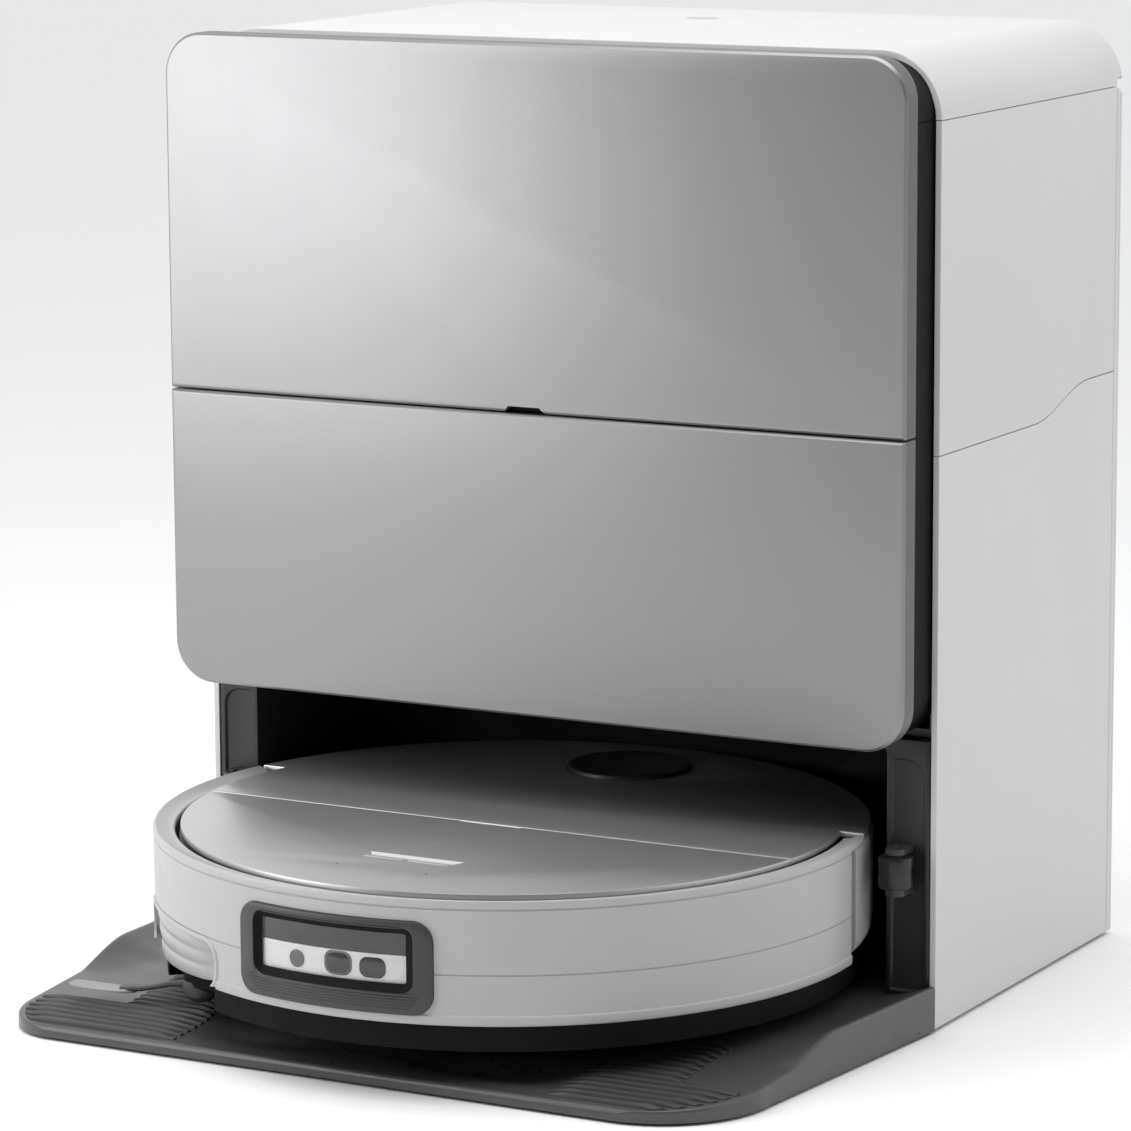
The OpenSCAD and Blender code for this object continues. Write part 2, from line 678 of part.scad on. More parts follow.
caster_fork();
caster_wheel();
main_brush();
brush_guard();
side_brush_arm();
side_brush();
mop_carriage();
mop(-1);  // mop_left
mop(1);  // mop_right
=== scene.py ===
# %% [markdown]
# # A robot vacuum parked in its docking station
# This lesson dresses a working assembly: the frame holds every part at its real size and knows how it
# moves. Blender adds what the frame leaves plain: rounded edges, moulded lips, ribs, cloth and the finish
# of each surface. Loading the frame first means that every later cell can ask a part where it is instead
# of guessing.

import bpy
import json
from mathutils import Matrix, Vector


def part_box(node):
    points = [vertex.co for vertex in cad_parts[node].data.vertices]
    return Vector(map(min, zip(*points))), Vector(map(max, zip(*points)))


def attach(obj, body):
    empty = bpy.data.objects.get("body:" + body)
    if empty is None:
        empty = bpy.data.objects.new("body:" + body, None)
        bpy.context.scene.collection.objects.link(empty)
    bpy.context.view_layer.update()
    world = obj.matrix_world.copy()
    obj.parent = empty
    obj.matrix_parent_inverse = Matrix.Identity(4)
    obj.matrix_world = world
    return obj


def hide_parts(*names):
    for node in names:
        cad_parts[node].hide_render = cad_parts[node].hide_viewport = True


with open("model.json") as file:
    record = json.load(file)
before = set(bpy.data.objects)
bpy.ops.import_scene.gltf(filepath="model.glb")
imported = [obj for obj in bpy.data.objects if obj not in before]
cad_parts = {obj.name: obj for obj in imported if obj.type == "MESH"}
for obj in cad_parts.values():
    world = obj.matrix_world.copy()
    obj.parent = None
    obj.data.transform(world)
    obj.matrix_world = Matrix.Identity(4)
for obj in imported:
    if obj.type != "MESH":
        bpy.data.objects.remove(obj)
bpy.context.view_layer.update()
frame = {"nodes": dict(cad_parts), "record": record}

# %% [markdown]
# The modules below come with Blender. Lengths in this lesson are written in millimetres, the unit such a
# product is drawn in, and turned into metres only where a mesh is made. `box_mm` gives the box round one
# or more parts.

# %% Modules and units
import json
import math

import bmesh
import bpy
from mathutils import Matrix, Vector, noise

MM = 0.001
scene = bpy.context.scene


def box_mm(*nodes):
    """Lowest and highest corner of the named parts, in millimetres."""
    boxes = [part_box(n) for n in nodes]
    low = Vector([min(b[0][i] for b in boxes) / MM for i in range(3)])
    high = Vector([max(b[1][i] for b in boxes) / MM for i in range(3)])
    return low, high


dock_low, dock_high = box_mm("lid", "base_plate")
print("dock width:", round(dock_high.x - dock_low.x, 1), "height:", round(dock_high.z, 1))

# %% [markdown]
# A product picture is taken from far away with a long lens, so upright edges stay nearly upright. The
# camera stands a little to the right of the dock and a little above it. It could be aimed with a
# constraint, but a matrix built from two angles is plain arithmetic and leaves nothing to update.

# %% Camera
camera_turn = math.radians(28.51)
camera_rise = math.radians(10.14)
camera_roll = math.radians(-0.31)
camera_distance = 2.4754
camera_aim = Vector((0.0029, 0.0026, 0.2121))
back = Vector((
    math.sin(camera_turn) * math.cos(camera_rise),
    -math.cos(camera_turn) * math.cos(camera_rise),
    math.sin(camera_rise),
))
right = Vector((math.cos(camera_turn), math.sin(camera_turn), 0.0))
up = back.cross(right)
rolled_right = math.cos(camera_roll) * right + math.sin(camera_roll) * up
rolled_up = math.cos(camera_roll) * up - math.sin(camera_roll) * right
camera_data = bpy.data.cameras.new("camera")
camera_data.sensor_width = 36.0
camera_data.lens = 160.5
camera_data.clip_end = 50.0
camera = bpy.data.objects.new("camera", camera_data)
scene.collection.objects.link(camera)
camera.matrix_world = (
    Matrix.Translation(camera_aim + camera_distance * back)
    @ Matrix((rolled_right, rolled_up, back)).transposed().to_4x4()
)
scene.camera = camera
scene.view_settings.view_transform = "Standard"
print("camera at", [round(x, 3) for x in camera.location])

# %% [markdown]
# Nearly every piece of the casing is a flat outline with rounded corners, pushed through space. `rounded`
# draws such a rectangle, `inset` shrinks any outline by an even margin, and `placed` stands it up across
# one of the three axes. Shrinking the outline a little at each end is what makes a moulded edge round.

# %% Outlines
def arc(cx, cy, radius, start, end, steps):
    """Points along an arc, angles in degrees, both ends included."""
    turns = [math.radians(start + (end - start) * i / steps) for i in range(steps + 1)]
    return [Vector((cx + radius * math.cos(t), cy + radius * math.sin(t))) for t in turns]


def rounded(x0, x1, y0, y1, radii, steps=8):
    """A rectangle, anticlockwise from its low corner, with one radius for each corner."""
    a, b, c, d = radii
    return (
        arc(x0 + a, y0 + a, a, 180, 270, steps)
        + arc(x1 - b, y0 + b, b, 270, 360, steps)
        + arc(x1 - c, y1 - c, c, 0, 90, steps)
        + arc(x0 + d, y1 - d, d, 90, 180, steps)
    )


def inset(outline, margin):
    """The outline drawn in by margin on all sides."""
    made = []
    for i, point in enumerate(outline):
        came = point - outline[i - 1]
        goes = outline[(i + 1) % len(outline)] - point
        first = Vector((-came.y, came.x)).normalized()
        second = Vector((-goes.y, goes.x)).normalized()
        made.append(point + margin * (first + second) / max(0.3, 1 + first.dot(second)))
    return made


def placed(outline, axis, at):
    """The outline in space, across axis x, y or z."""
    if axis == "x":
        return [Vector((at, p[0], p[1])) for p in outline]
    if axis == "y":
        return [Vector((p[0], at, p[1])) for p in outline]
    return [Vector((p[0], p[1], at)) for p in outline]


# %% [markdown]
# A loft joins rings of points with faces, the way a boat builder joins ribs with planks. One function
# makes the casing panels, and with the rings set round an axis it also makes everything turned: the
# bumper, the wheels, the rollers and the mops. Writing meshes this way keeps every edge where it was
# meant.

# %% Lofts and turned shapes
def new_object(name, points, faces):
    mesh = bpy.data.meshes.new(name)
    mesh.from_pydata([p * MM for p in points], [], faces)
    work = bmesh.new()
    work.from_mesh(mesh)
    bmesh.ops.remove_doubles(work, verts=work.verts, dist=1e-7)
    bmesh.ops.recalc_face_normals(work, faces=work.faces)
    work.to_mesh(mesh)
    work.free()
    made = bpy.data.objects.new(name, mesh)
    scene.collection.objects.link(made)
    return made


def loft(name, rings, closed=False):
    """A skin over rings of points. Closed, the last ring joins the first; otherwise both ends get a cap."""
    n = len(rings[0])
    points = [p for ring in rings for p in ring]
    spans = len(rings) if closed else len(rings) - 1
    faces = []
    for i in range(spans):
        a, b = i * n, (i + 1) % len(rings) * n
        faces += [(a + j, a + (j + 1) % n, b + (j + 1) % n, b + j) for j in range(n)]
    if not closed:
        faces += [tuple(range(n)), tuple(range((len(rings) - 1) * n, len(rings) * n))]
    return new_object(name, points, faces)


def panel(name, outline, axis, steps):
    """An outline pushed along an axis; each step is (margin, place)."""
    return loft(name, [placed(inset(outline, m), axis, at) for m, at in steps])


def rounded_panel(name, sides, radii, axis, steps, smooth=8):
    """A rounded rectangle pushed along an axis. Its corners are drawn anew for each margin, however deep."""
    x0, x1, y0, y1 = sides
    rings = []
    for m, at in steps:
        smaller = [max(r - m, 0.15) for r in radii]
        rings.append(placed(rounded(x0 + m, x1 - m, y0 + m, y1 - m, smaller, smooth), axis, at))
    return loft(name, rings)


def turned(name, profile, place, start=0.0, end=360.0, step=3.0):
    """A closed (radius, height) profile swept round an axis by place(radius, angle, height)."""
    whole = end - start >= 360.0
    count = max(3, round((end - start) / step))
    turns = [start + (end - start) * i / count for i in range(count if whole else count + 1)]
    rings = [[place(r, math.radians(t), h) for r, h in profile] for t in turns]
    return loft(name, rings, closed=whole)


def about_z(cx, cy):
    """Angles run from the front, -Y, towards +X."""
    return lambda r, a, h: Vector((cx + r * math.sin(a), cy - r * math.cos(a), h))


def about_x(cy, cz):
    return lambda r, a, h: Vector((h, cy + r * math.cos(a), cz + r * math.sin(a)))


def about_y(cx, cz):
    return lambda r, a, h: Vector((cx + r * math.cos(a), h, cz + r * math.sin(a)))


# %% [markdown]
# Openings are cut with booleans and edges are broken with a bevel, as a toolmaker would.
# `settle` keeps the result as plain mesh, so that no modifier is left to change later.

# %% Cutting, softening and joining
def settle(obj):
    bpy.context.view_layer.update()
    seen = obj.evaluated_get(bpy.context.evaluated_depsgraph_get())
    made = bpy.data.meshes.new_from_object(seen)
    obj.modifiers.clear()
    obj.data = made
    return obj


def carve(obj, *tools):
    for tool in tools:
        cut = obj.modifiers.new("cut", "BOOLEAN")
        cut.operation = "DIFFERENCE"
        cut.solver = "EXACT"
        cut.object = tool
    settle(obj)
    if not obj.data.polygons:
        raise RuntimeError(obj.name + " was cut away whole")
    for tool in tools:
        bpy.data.objects.remove(tool)
    return obj


def soften(obj, width, segments=2, angle=35.0):
    edge = obj.modifiers.new("soft edges", "BEVEL")
    edge.width = width * MM
    edge.segments = segments
    edge.limit_method = "ANGLE"
    edge.angle_limit = math.radians(angle)
    return settle(obj)


def joined(obj, *others):
    """One object from several that are moulded or fixed together."""
    work = bmesh.new()
    for each in (obj, *others):
        work.from_mesh(each.data)
    work.to_mesh(obj.data)
    work.free()
    for each in others:
        bpy.data.objects.remove(each)
    return obj


def block(name, x0, x1, y0, y1, z0, z1, edge=0.4):
    """A box with its upper and lower edges broken."""
    steps = [(edge, z0), (0, z0 + edge), (0, z1 - edge), (edge, z1)]
    return rounded_panel(name, (x0, x1, y0, y1), (edge + 0.15,) * 4, "z", steps, 3)


# %% [markdown]
# The finishes come next. A moulded surface is never one flat value: its colour drifts a little, its gloss
# is uneven where hands have been, a fine spark-eroded grain breaks up highlights, and edges wear lighter.
# All four come from noise in the object's own coordinates, so nothing has to be unwrapped.

# %% Finish: moulded plastic, paint and metal
def link_noise(nodes, links, scale, detail, where):
    cloud = nodes.new("ShaderNodeTexNoise")
    cloud.inputs["Scale"].default_value = scale
    cloud.inputs["Detail"].default_value = detail
    links.new(where, cloud.inputs["Vector"])
    return cloud


def spread(nodes, links, source, low, high):
    """Maps a 0 to 1 signal to low to high."""
    ranged = nodes.new("ShaderNodeMapRange")
    ranged.inputs["From Min"].default_value = 0.3
    ranged.inputs["From Max"].default_value = 0.7
    ranged.inputs["To Min"].default_value = low
    ranged.inputs["To Max"].default_value = high
    links.new(source, ranged.inputs["Value"])
    return ranged.outputs["Result"]


def moulded(
        name, colour, rough, drift=0.05, grain=1600.0, bump=0.12, worn=0.25, stretch=(1, 1, 1),
            gloss=0.03, **sockets):
    """A finish with drifting colour, uneven gloss, surface grain and lighter worn edges."""
    made = bpy.data.materials.new(name)
    made.use_nodes = True
    nodes, links = made.node_tree.nodes, made.node_tree.links
    shader = nodes["Principled BSDF"]
    for socket, value in sockets.items():
        shader.inputs[socket.replace("_", " ")].default_value = value
    where = nodes.new("ShaderNodeTexCoord").outputs["Object"]
    stretched = nodes.new("ShaderNodeMapping")
    stretched.inputs["Scale"].default_value = stretch
    links.new(where, stretched.inputs["Vector"])
    drifting = link_noise(nodes, links, 14.0, 3.0, where)
    shade = nodes.new("ShaderNodeMix")
    shade.data_type = "RGBA"
    shade.inputs["A"].default_value = (*[c * (1 - drift) for c in colour], 1)
    shade.inputs["B"].default_value = (*[min(1, c * (1 + drift)) for c in colour], 1)
    links.new(drifting.outputs["Fac"], shade.inputs["Factor"])
    edges = nodes.new("ShaderNodeNewGeometry").outputs["Pointiness"]
    wear = nodes.new("ShaderNodeMapRange")
    wear.inputs["From Min"].default_value = 0.52
    wear.inputs["From Max"].default_value = 0.62
    wear.inputs["To Max"].default_value = worn
    links.new(edges, wear.inputs["Value"])
    top = nodes.new("ShaderNodeMix")
    top.data_type = "RGBA"
    top.inputs["B"].default_value = (*[min(1, c * 1.3 + 0.03) for c in colour], 1)
    links.new(wear.outputs["Result"], top.inputs["Factor"])
    links.new(shade.outputs["Result"], top.inputs["A"])
    links.new(top.outputs["Result"], shader.inputs["Base Color"])
    handled = link_noise(nodes, links, 60.0, 2.0, where)
    links.new(
        spread(nodes, links, handled.outputs["Fac"], rough - gloss, rough + gloss),
        shader.inputs["Roughness"]
    )
    fine = link_noise(nodes, links, grain, 2.0, stretched.outputs["Vector"])
    relief = nodes.new("ShaderNodeBump")
    relief.inputs["Strength"].default_value = bump
    relief.inputs["Distance"].default_value = 0.1 * MM
    links.new(fine.outputs["Fac"], relief.inputs["Height"])
    links.new(relief.outputs["Normal"], shader.inputs["Normal"])
    return made


# %% [markdown]
# Cloth needs more than noise. The mop pads are looped microfibre and the dust bag is pressed paper cloth, so
# their bump is a cell pattern at the size of the loops or of the embossed dots. The same cells paint shade into
# the gaps between the loops or dots.

# %% Finish: cloth
def cloth(name, colour, loop_gap_shade, loops, bump):
    """Looped or embossed cloth: cells for the loops, with painted shade between them, and a soft sheen."""
    made = bpy.data.materials.new(name)
    made.use_nodes = True
    nodes, links = made.node_tree.nodes, made.node_tree.links
    shader = nodes["Principled BSDF"]
    shader.inputs["Sheen Weight"].default_value = 0.4
    shader.inputs["Specular IOR Level"].default_value = 0.2
    where = nodes.new("ShaderNodeTexCoord").outputs["Object"]
    cells = nodes.new("ShaderNodeTexVoronoi")
    cells.inputs["Scale"].default_value = loops
    links.new(where, cells.inputs["Vector"])
    # The gaps between the cells take the darker colour: painted shade between the loops.
    shade = nodes.new("ShaderNodeMix")
    shade.data_type = "RGBA"
    shade.inputs["A"].default_value = (*colour, 1)
    shade.inputs["B"].default_value = (*loop_gap_shade, 1)
    links.new(cells.outputs["Distance"], shade.inputs["Factor"])
    links.new(shade.outputs["Result"], shader.inputs["Base Color"])
    cloud = link_noise(nodes, links, 40.0, 3.0, where)
    links.new(spread(nodes, links, cloud.outputs["Fac"], 0.85, 0.98), shader.inputs["Roughness"])
    relief = nodes.new("ShaderNodeBump")
    relief.inputs["Strength"].default_value = bump
    relief.inputs["Distance"].default_value = 0.6 * MM
    relief.invert = True
    links.new(cells.outputs["Distance"], relief.inputs["Height"])
    links.new(relief.outputs["Normal"], shader.inputs["Normal"])
    return made


# %% [markdown]
# Each finish is made once, and most are kept under the name of their slot in the record, so that a part that
# stays as it is and a piece that replaces one are painted from the same pot. A few finishes are lit or shaded
# copies. A lighter charcoal for the ramp is painted light. A darker charcoal for the bay and a darker rim
# finish on the doors are painted shade.

# %% The paint shelf
finishes = {
    "charcoal": moulded("charcoal_abs", (0.038, 0.038, 0.039), 0.42, bump=0.25, worn=0.12),
    # A lighter copy of the charcoal, painted light: the floor moulding is lightened so that the ramp reads as
    # lit.
    "lit_ramp_plastic": moulded("ramp_abs_painted_light", (0.07, 0.07, 0.072), 0.3, bump=0.06, worn=0.0),
    # A darker copy of the charcoal, painted shade for the bay liner and its pillars.
    "shaded_bay_plastic": moulded("bay_abs_painted_shade", (0.022, 0.022, 0.023), 0.45, bump=0.2, worn=0.1),
    # A darker finish for the door sides and backs: painted shade, which stands in for the shade and dark
    # reflection on the doors' side walls.
    "door_rim": moulded("door_rim", (0.1, 0.1, 0.102), 0.45, bump=0.1, worn=0.3, Metallic=0.2),
    # Near-black with its reflection turned down, darker than plain black plastic: painted shade, so that the
    # robot's pan and the brush gearbox read as the shadow under the robot.
    "black_plastic": moulded(
        "black_abs_painted_shade", (0.004, 0.004, 0.0045), 0.6, bump=0.15, worn=0.02, Specular_IOR_Level=0.12),
    "grey_plastic": moulded("grey_abs", (0.13, 0.13, 0.135), 0.5, bump=0.2, worn=0.15),
    "shell_white": moulded(
        "shell_paint", (0.62, 0.62, 0.62), 0.5, drift=0.012, grain=900.0, bump=0.18, worn=0.1
    ),
    "robot_white": moulded("robot_casing", (0.42, 0.42, 0.42), 0.38, drift=0.015, bump=0.05, worn=0.1),
    "silver_panel": moulded(
        "satin_door_panel", (0.275, 0.275, 0.28), 0.36, drift=0.01, grain=700.0, bump=0.1, gloss=0.006,
        worn=0.3, stretch=(0.35, 1, 1.4), Metallic=0.95),
    "deck_silver": moulded(
        "satin_deck_panel", (0.51, 0.51, 0.515), 0.37, drift=0.01, grain=900.0, bump=0.05, gloss=0.006,
        worn=0.3, stretch=(0.35, 1.4, 1), Metallic=0.75),
    "tread_rubber": moulded("tread_rubber", (0.03, 0.03, 0.032), 0.5, bump=0.3, worn=0.3),
    "roller_rubber": moulded("roller_rubber", (0.012, 0.012, 0.012), 0.35, bump=0.2),
    "brush_rubber": moulded("brush_rubber", (0.3, 0.3, 0.31), 0.55, bump=0.2),
    "steel": moulded("turned_steel", (0.6, 0.6, 0.62), 0.28, grain=600.0, stretch=(1, 12, 1), Metallic=1.0),
    "contact_metal": moulded("plated_contact", (0.72, 0.62, 0.42), 0.25, Metallic=1.0),
    "clear_tank": moulded(
        "clear_tank_wall", (0.8, 0.86, 0.9), 0.12, bump=0.05, Transmission_Weight=0.85, IOR=1.45),
    "smoke_tank": moulded(
        "smoke_tank_wall", (0.16, 0.16, 0.17), 0.14, bump=0.05, Transmission_Weight=0.7, IOR=1.45),
    "bag_cloth": cloth("pressed_bag_cloth", (0.78, 0.76, 0.7), (0.6, 0.58, 0.52), 420.0, 0.4),
    "mop_cloth": cloth("looped_mop_cloth", (0.55, 0.57, 0.62), (0.2, 0.21, 0.25), 380.0, 0.9),
    "circuit": moulded("lacquered_board", (0.02, 0.12, 0.05), 0.3, drift=0.3, grain=300.0, bump=0.3),
    "battery_wrap": moulded("battery_sleeve", (0.03, 0.08, 0.2), 0.25, bump=0.1),
    "gloss_black": moulded("gloss_black", (0.008, 0.008, 0.009), 0.08, bump=0.02, worn=0.05),
    "window_glass": moulded(
        "window_glass", (1.0, 1.0, 1.0), 0.02, drift=0.0, bump=0.004, worn=0.0, gloss=0.0,
            Transmission_Weight=1.0, IOR=1.3),
    "window_plate": moulded("window_plate", (0.93, 0.93, 0.93), 0.3, drift=0.01, bump=0.02, worn=0.0),
}
print("finishes:", ", ".join(sorted(finishes)))


def piece(obj, body, slot, *nodes):
    """Finishes a piece, sets it on its body and hides the plain parts that it stands for."""
    obj.data.materials.clear()
    obj.data.materials.append(finishes[slot])
    obj.data.shade_smooth()
    obj.data.set_sharp_from_angle(angle=math.radians(32))
    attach(obj, body)
    if nodes:
        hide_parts(*nodes)
    print(obj.name, "faces:", len(obj.data.polygons))
    return obj


# %% [markdown]
# ## The two doors
# Each door is one satin metal-look panel with a bright chamfer all round and a hollow back that makes it
# stiff. The panel could be a bevelled box, but a loft lets the chamfer, the side wall and the hollow
# share one outline.

# %% Doors
door_round = 21.0
door_chamfer = 1.3
door_skin = 2.5
door_rim = 5.0


def door_panel(name, node, radii):
    low, high = box_mm(node)
    front = low.y
    return rounded_panel(name, (low.x, high.x, low.z, high.z), radii, "y", [
        (door_rim, front + door_skin), (door_rim, high.y), (0.4, high.y), (0, high.y - 0.4),
        (0, front + door_chamfer), (0.25, front + 0.75 * door_chamfer), (door_chamfer, front + 0.08),
        (door_chamfer + 0.6, front)], 14)


def paint_rim_shade(obj):
    """The front skin is satin silver. Behind its chamfer, the sides and back get a darker finish, which is
    painted shade.
    """
    obj.data.materials.append(finishes["door_rim"])
    limit = min(v.co.y for v in obj.data.vertices) + 0.95 * door_chamfer * MM
    for face in obj.data.polygons:
        if face.center.y > limit:
            face.material_index = 1


upper_low = box_mm("upper_door")[0]
small = 0.8
notch_tall = 2.8
top_panel = door_panel("upper_door_panel", "upper_door", (small, small, door_round, door_round))
notch_outline = [
    Vector(p)
    for p in ((-11, -1), (11, -1), (11, 0), (8.6, notch_tall), (-8.6, notch_tall), (-11, 0))
]
notch_outline = [p + Vector((0, upper_low.z)) for p in notch_outline]
notch = panel("notch", notch_outline, "y", [(0, upper_low.y - 1), (0, upper_low.y + 9)])
carve(top_panel, notch)
piece(top_panel, "dock", "silver_panel", "upper_door")
paint_rim_shade(top_panel)

# %% [markdown]
# The lower door turns on barrels along its foot. Its heel is cut away round them, and a pocket on each side
# leaves room for the pins' blocks, so that the door can swing without meeting its frame.

# %% Lower door
low_low, low_high = box_mm("lower_door")
low_panel = door_panel("lower_door_panel", "lower_door", (door_round, door_round, small, small))
barrel_y = low_high.y - 4.0
barrel_z = low_low.z + 5.0
heel = block(
    "heel", low_low.x - 1, low_high.x + 1, barrel_y, low_high.y + 1, low_low.z - 1, barrel_z, 0.05)
pockets = [
    block("pocket", x, x + 9, barrel_y - 4.2, low_high.y + 1, low_low.z - 1, barrel_z + 4.2, 0.05)
    for x in (-156.5, 147.5)]
carve(low_panel, heel, *pockets)
barrels = []
for x0, x1 in ((-181.0, -157.0), (-147.0, 147.0), (157.0, 181.0)):
    profile = [(1.6, x0), (3.6, x0), (4.0, x0 + 0.4), (4.0, x1 - 0.4), (3.6, x1), (1.6, x1)]
    barrels.append(turned("barrel", profile, about_x(barrel_y, barrel_z), step=15))
joined(low_panel, *barrels)
piece(low_panel, "lower_door", "silver_panel", "lower_door")
paint_rim_shade(low_panel)
ledge = rounded_panel("notch_ledge", (-14, 14, upper_low.z + 0.2, upper_low.z + 6), (1,) * 4, "y", [
    (0.3, upper_low.y + 4.6), (0, upper_low.y + 5), (0, upper_low.y + 8)], 3)
piece(ledge, "dock", "black_plastic")

# %% [markdown]
# ## The white casing
# A lid wraps over the top with large round edges, and four side panels hang below it. A parting line
# crosses each side and steps up in an S towards the back. The lid is an arch with a smaller arch cut out
# of it, which keeps its wall even. It is drawn a little too tall and then trimmed at the seam, because a
# corner this large needs room below it. The panels are plain outlines with the S worked out from a
# cosine.

# %% Lid and side panels
wall = 3.0
lid_round = 32.0
lid_low, lid_high = box_mm("lid")
half = lid_high.x
seam_z = box_mm("side_upper_left")[1].z + 0.2
lid_shell = rounded_panel("lid_shell", (-half, half, seam_z - 8, lid_high.z), (0.2, 0.2, lid_round,
    lid_round), "y", [
    (0.7, lid_low.y), (0.2, lid_low.y + 0.2), (0, lid_low.y + 0.7), (0, lid_high.y - 1.2),
    (0.4, lid_high.y - 0.4), (1.2, lid_high.y)], 20)
inner_sides = (wall - half, half - wall, seam_z - 20, lid_high.z - wall)
inner_round = lid_round - wall
hollow = rounded_panel("hollow", inner_sides, (0.2, 0.2, inner_round, inner_round), "y", [
    (0, lid_low.y - 1), (0, lid_high.y - wall)], 20)
hinge_y, hinge_z = lid_high.y - 3.5, seam_z
relief = turned(
    "relief", [
        (0.1, -half - 1), (4.8, -half - 1), (4.8, half + 1), (0.1, half + 1)
    ], about_x(hinge_y, hinge_z), step=10)
skirt_trim = block(
    "skirt_trim", -half - 1, half + 1, lid_low.y - 1, lid_high.y + 1, seam_z - 12, seam_z + 0.2, 0.05)
carve(lid_shell, hollow, relief, skirt_trim)
knuckles = []
for side in (-1, 1):
    x0, x1 = sorted((side * 110.0, side * 124.0))
    profile = [(1.6, x0), (3.2, x0), (3.5, x0 + 0.3), (3.5, x1 - 0.3), (3.2, x1), (1.6, x1)]
    knuckles.append(turned("knuckle", profile, about_x(hinge_y, hinge_z), step=12))
    knuckles.append(block("tab", x0, x1, hinge_y - 2.5, hinge_y + 0.5, hinge_z + 3, hinge_z + 9, 0.2))
joined(lid_shell, *knuckles)
piece(lid_shell, "lid", "shell_white", "lid")


# %% [markdown]
# The side panels meet along the S. One function gives its height, and the upper and the lower panel both
# ask it, so that the gap between them stays even.

# %% Side panels
def wave(y):
    """Height of the parting line on the side panels."""
    low, high = box_mm("side_upper_left")[0].z - 0.2, box_mm("side_lower_left")[1].z + 0.2
    start, end = 116.0, 184.0
    t = min(1.0, max(0.0, (y - start) / (end - start)))
    return low + (high - low) * (0.5 - 0.5 * math.cos(math.pi * t))


def side_panel(name, node, upper):
    low, high = box_mm(node)
    ys = [low.y] + [116 + 3.4 * i for i in range(21)] + [high.y]
    if upper:
        outline = [Vector((y, wave(y) + 0.2)) for y in ys] + [
            Vector((high.y, high.z)), Vector((low.y, high.z))
        ]
    else:
        outline = [
            Vector((low.y, low.z)), Vector((high.y, low.z))
        ] + [Vector((y, wave(y) - 0.2)) for y in ys[::-1]]
    inner, outer = (high.x, low.x) if high.x < 0 else (low.x, high.x)
    out = math.copysign(1, outer)
    made = panel(
        name, outline, "x", [(0, inner), (0, outer - 0.45 * out), (0.15, outer - 0.12 * out), (0.5, outer)]
    )
    return piece(made, "dock", "shell_white", node)


for hand in ("left", "right"):
    side_panel("side_panel_upper_" + hand, "side_upper_" + hand, True)
    side_panel("side_panel_lower_" + hand, "side_lower_" + hand, False)

# %% [markdown]
# On top of the lid sits a small oval status lens, nearly flush, a shade darker than the paint round it.

# %% Status lens
lens_y = 157.0
oval = [
    Vector((9.0 * math.cos(t), lens_y + 6.5 * math.sin(t)))
    for t in [math.radians(a) for a in range(0, 360, 10)]
]
status = panel(
    "status_lens", oval, "z", [(0, lid_high.z - 0.8), (0, lid_high.z + 0.1), (0.8, lid_high.z + 0.3)]
)
piece(status, "lid", "robot_white")

# %% [markdown]
# The back is a flat cover with a warm-air grille, an inlet for the mains lead and six screws. The slots are
# cut with rounded ends, because a mould can't fill a sharp one.

# %% Rear cover
rear_low, rear_high = box_mm("rear_cover")
cover = rounded_panel("rear_cover_panel", (rear_low.x, rear_high.x, rear_low.z, rear_high.z), (0.4,) * 4,
    "y", [
    (0, rear_high.y - wall), (0, rear_high.y - 1.2), (0.4, rear_high.y - 0.4), (1.2, rear_high.y)], 3)
inlet_low, inlet_high = box_mm("power_inlet")
tools = [
    panel("slot", rounded(60, 150, 60 + 8 * i, 63 + 8 * i, (1.4,) * 4, 5), "y", [(0, 215), (0, 230)])
    for i in range(8)
]
tools.append(
    panel(
        "mouth",
        rounded(inlet_low.x - 0.2, inlet_high.x + 0.2, inlet_low.z - 0.2, inlet_high.z + 0.2, (1,) * 4, 3),
        "y", [(0, 215), (0, 230)]
    )
)
for z in (30.0, 220.0, 410.0):
    for x in (-185.0, 185.0):
        tools.append(
            turned(
                "seat", [(0.01, rear_high.y - 1.5), (4, rear_high.y - 1.5), (4.6, 230), (0.01, 230)],
                about_y(x, z), step=15
            )
        )
tools.append(
    turned(
        "relief", [(0.1, -half - 1), (4.8, -half - 1), (4.8, half + 1), (0.1, half + 1)],
        about_x(hinge_y, hinge_z), step=10
    )
)
carve(cover, *tools)
extras = []
for side in (-1, 1):
    x0, x1 = sorted((side * (half - wall), side * half))
    extras.append(block("flange", x0, x1, rear_low.y, rear_high.y - wall, rear_low.z, rear_high.z - 5, 0.3))
    for at in (94.0, 124.6):
        x0, x1 = sorted((side * at, side * (at + 15.4)))
        profile = [(1.6, x0), (3.2, x0), (3.5, x0 + 0.3), (3.5, x1 - 0.3), (3.2, x1), (1.6, x1)]
        extras.append(turned("knuckle", profile, about_x(hinge_y, hinge_z), step=12))
        extras.append(block("tab", x0, x1, hinge_y - 3.2, hinge_y + 0.4, hinge_z - 12, hinge_z - 3, 0.2))
joined(cover, *extras)
piece(cover, "dock", "shell_white", "rear_cover")

# %% [markdown]
# ## The ramp and floor
# The floor is one moulding. It rises gently from a thin front edge, dips in a shallow dish where the
# robot's brush crosses, and sweeps up at both sides into low cheeks. Such a surface is a height for each
# place, so a grid whose rows widen with the outline, and a function that gives the height, describe it
# best.

# %% Height of the floor
base_low, base_high = box_mm("base_plate")
shell_y = lid_low.y
floor_half = half - wall - 0.4
shoulder, corner = half - 14.0, 55.0
left_shoulder, left_corner = half - 2.0, 32.0
cheek_start, cheek_end = -145.0, -85.0
front_y = base_low.y
underside = base_low.z
cheek_top = base_high.z
floor_top = 16.0
cheek_wide = 27.0
edge_round = 1.6


def step_up(t):
    """0 to 1 with a level start and end."""
    t = min(1.0, max(0.0, t))
    return t * t * (3 - 2 * t)


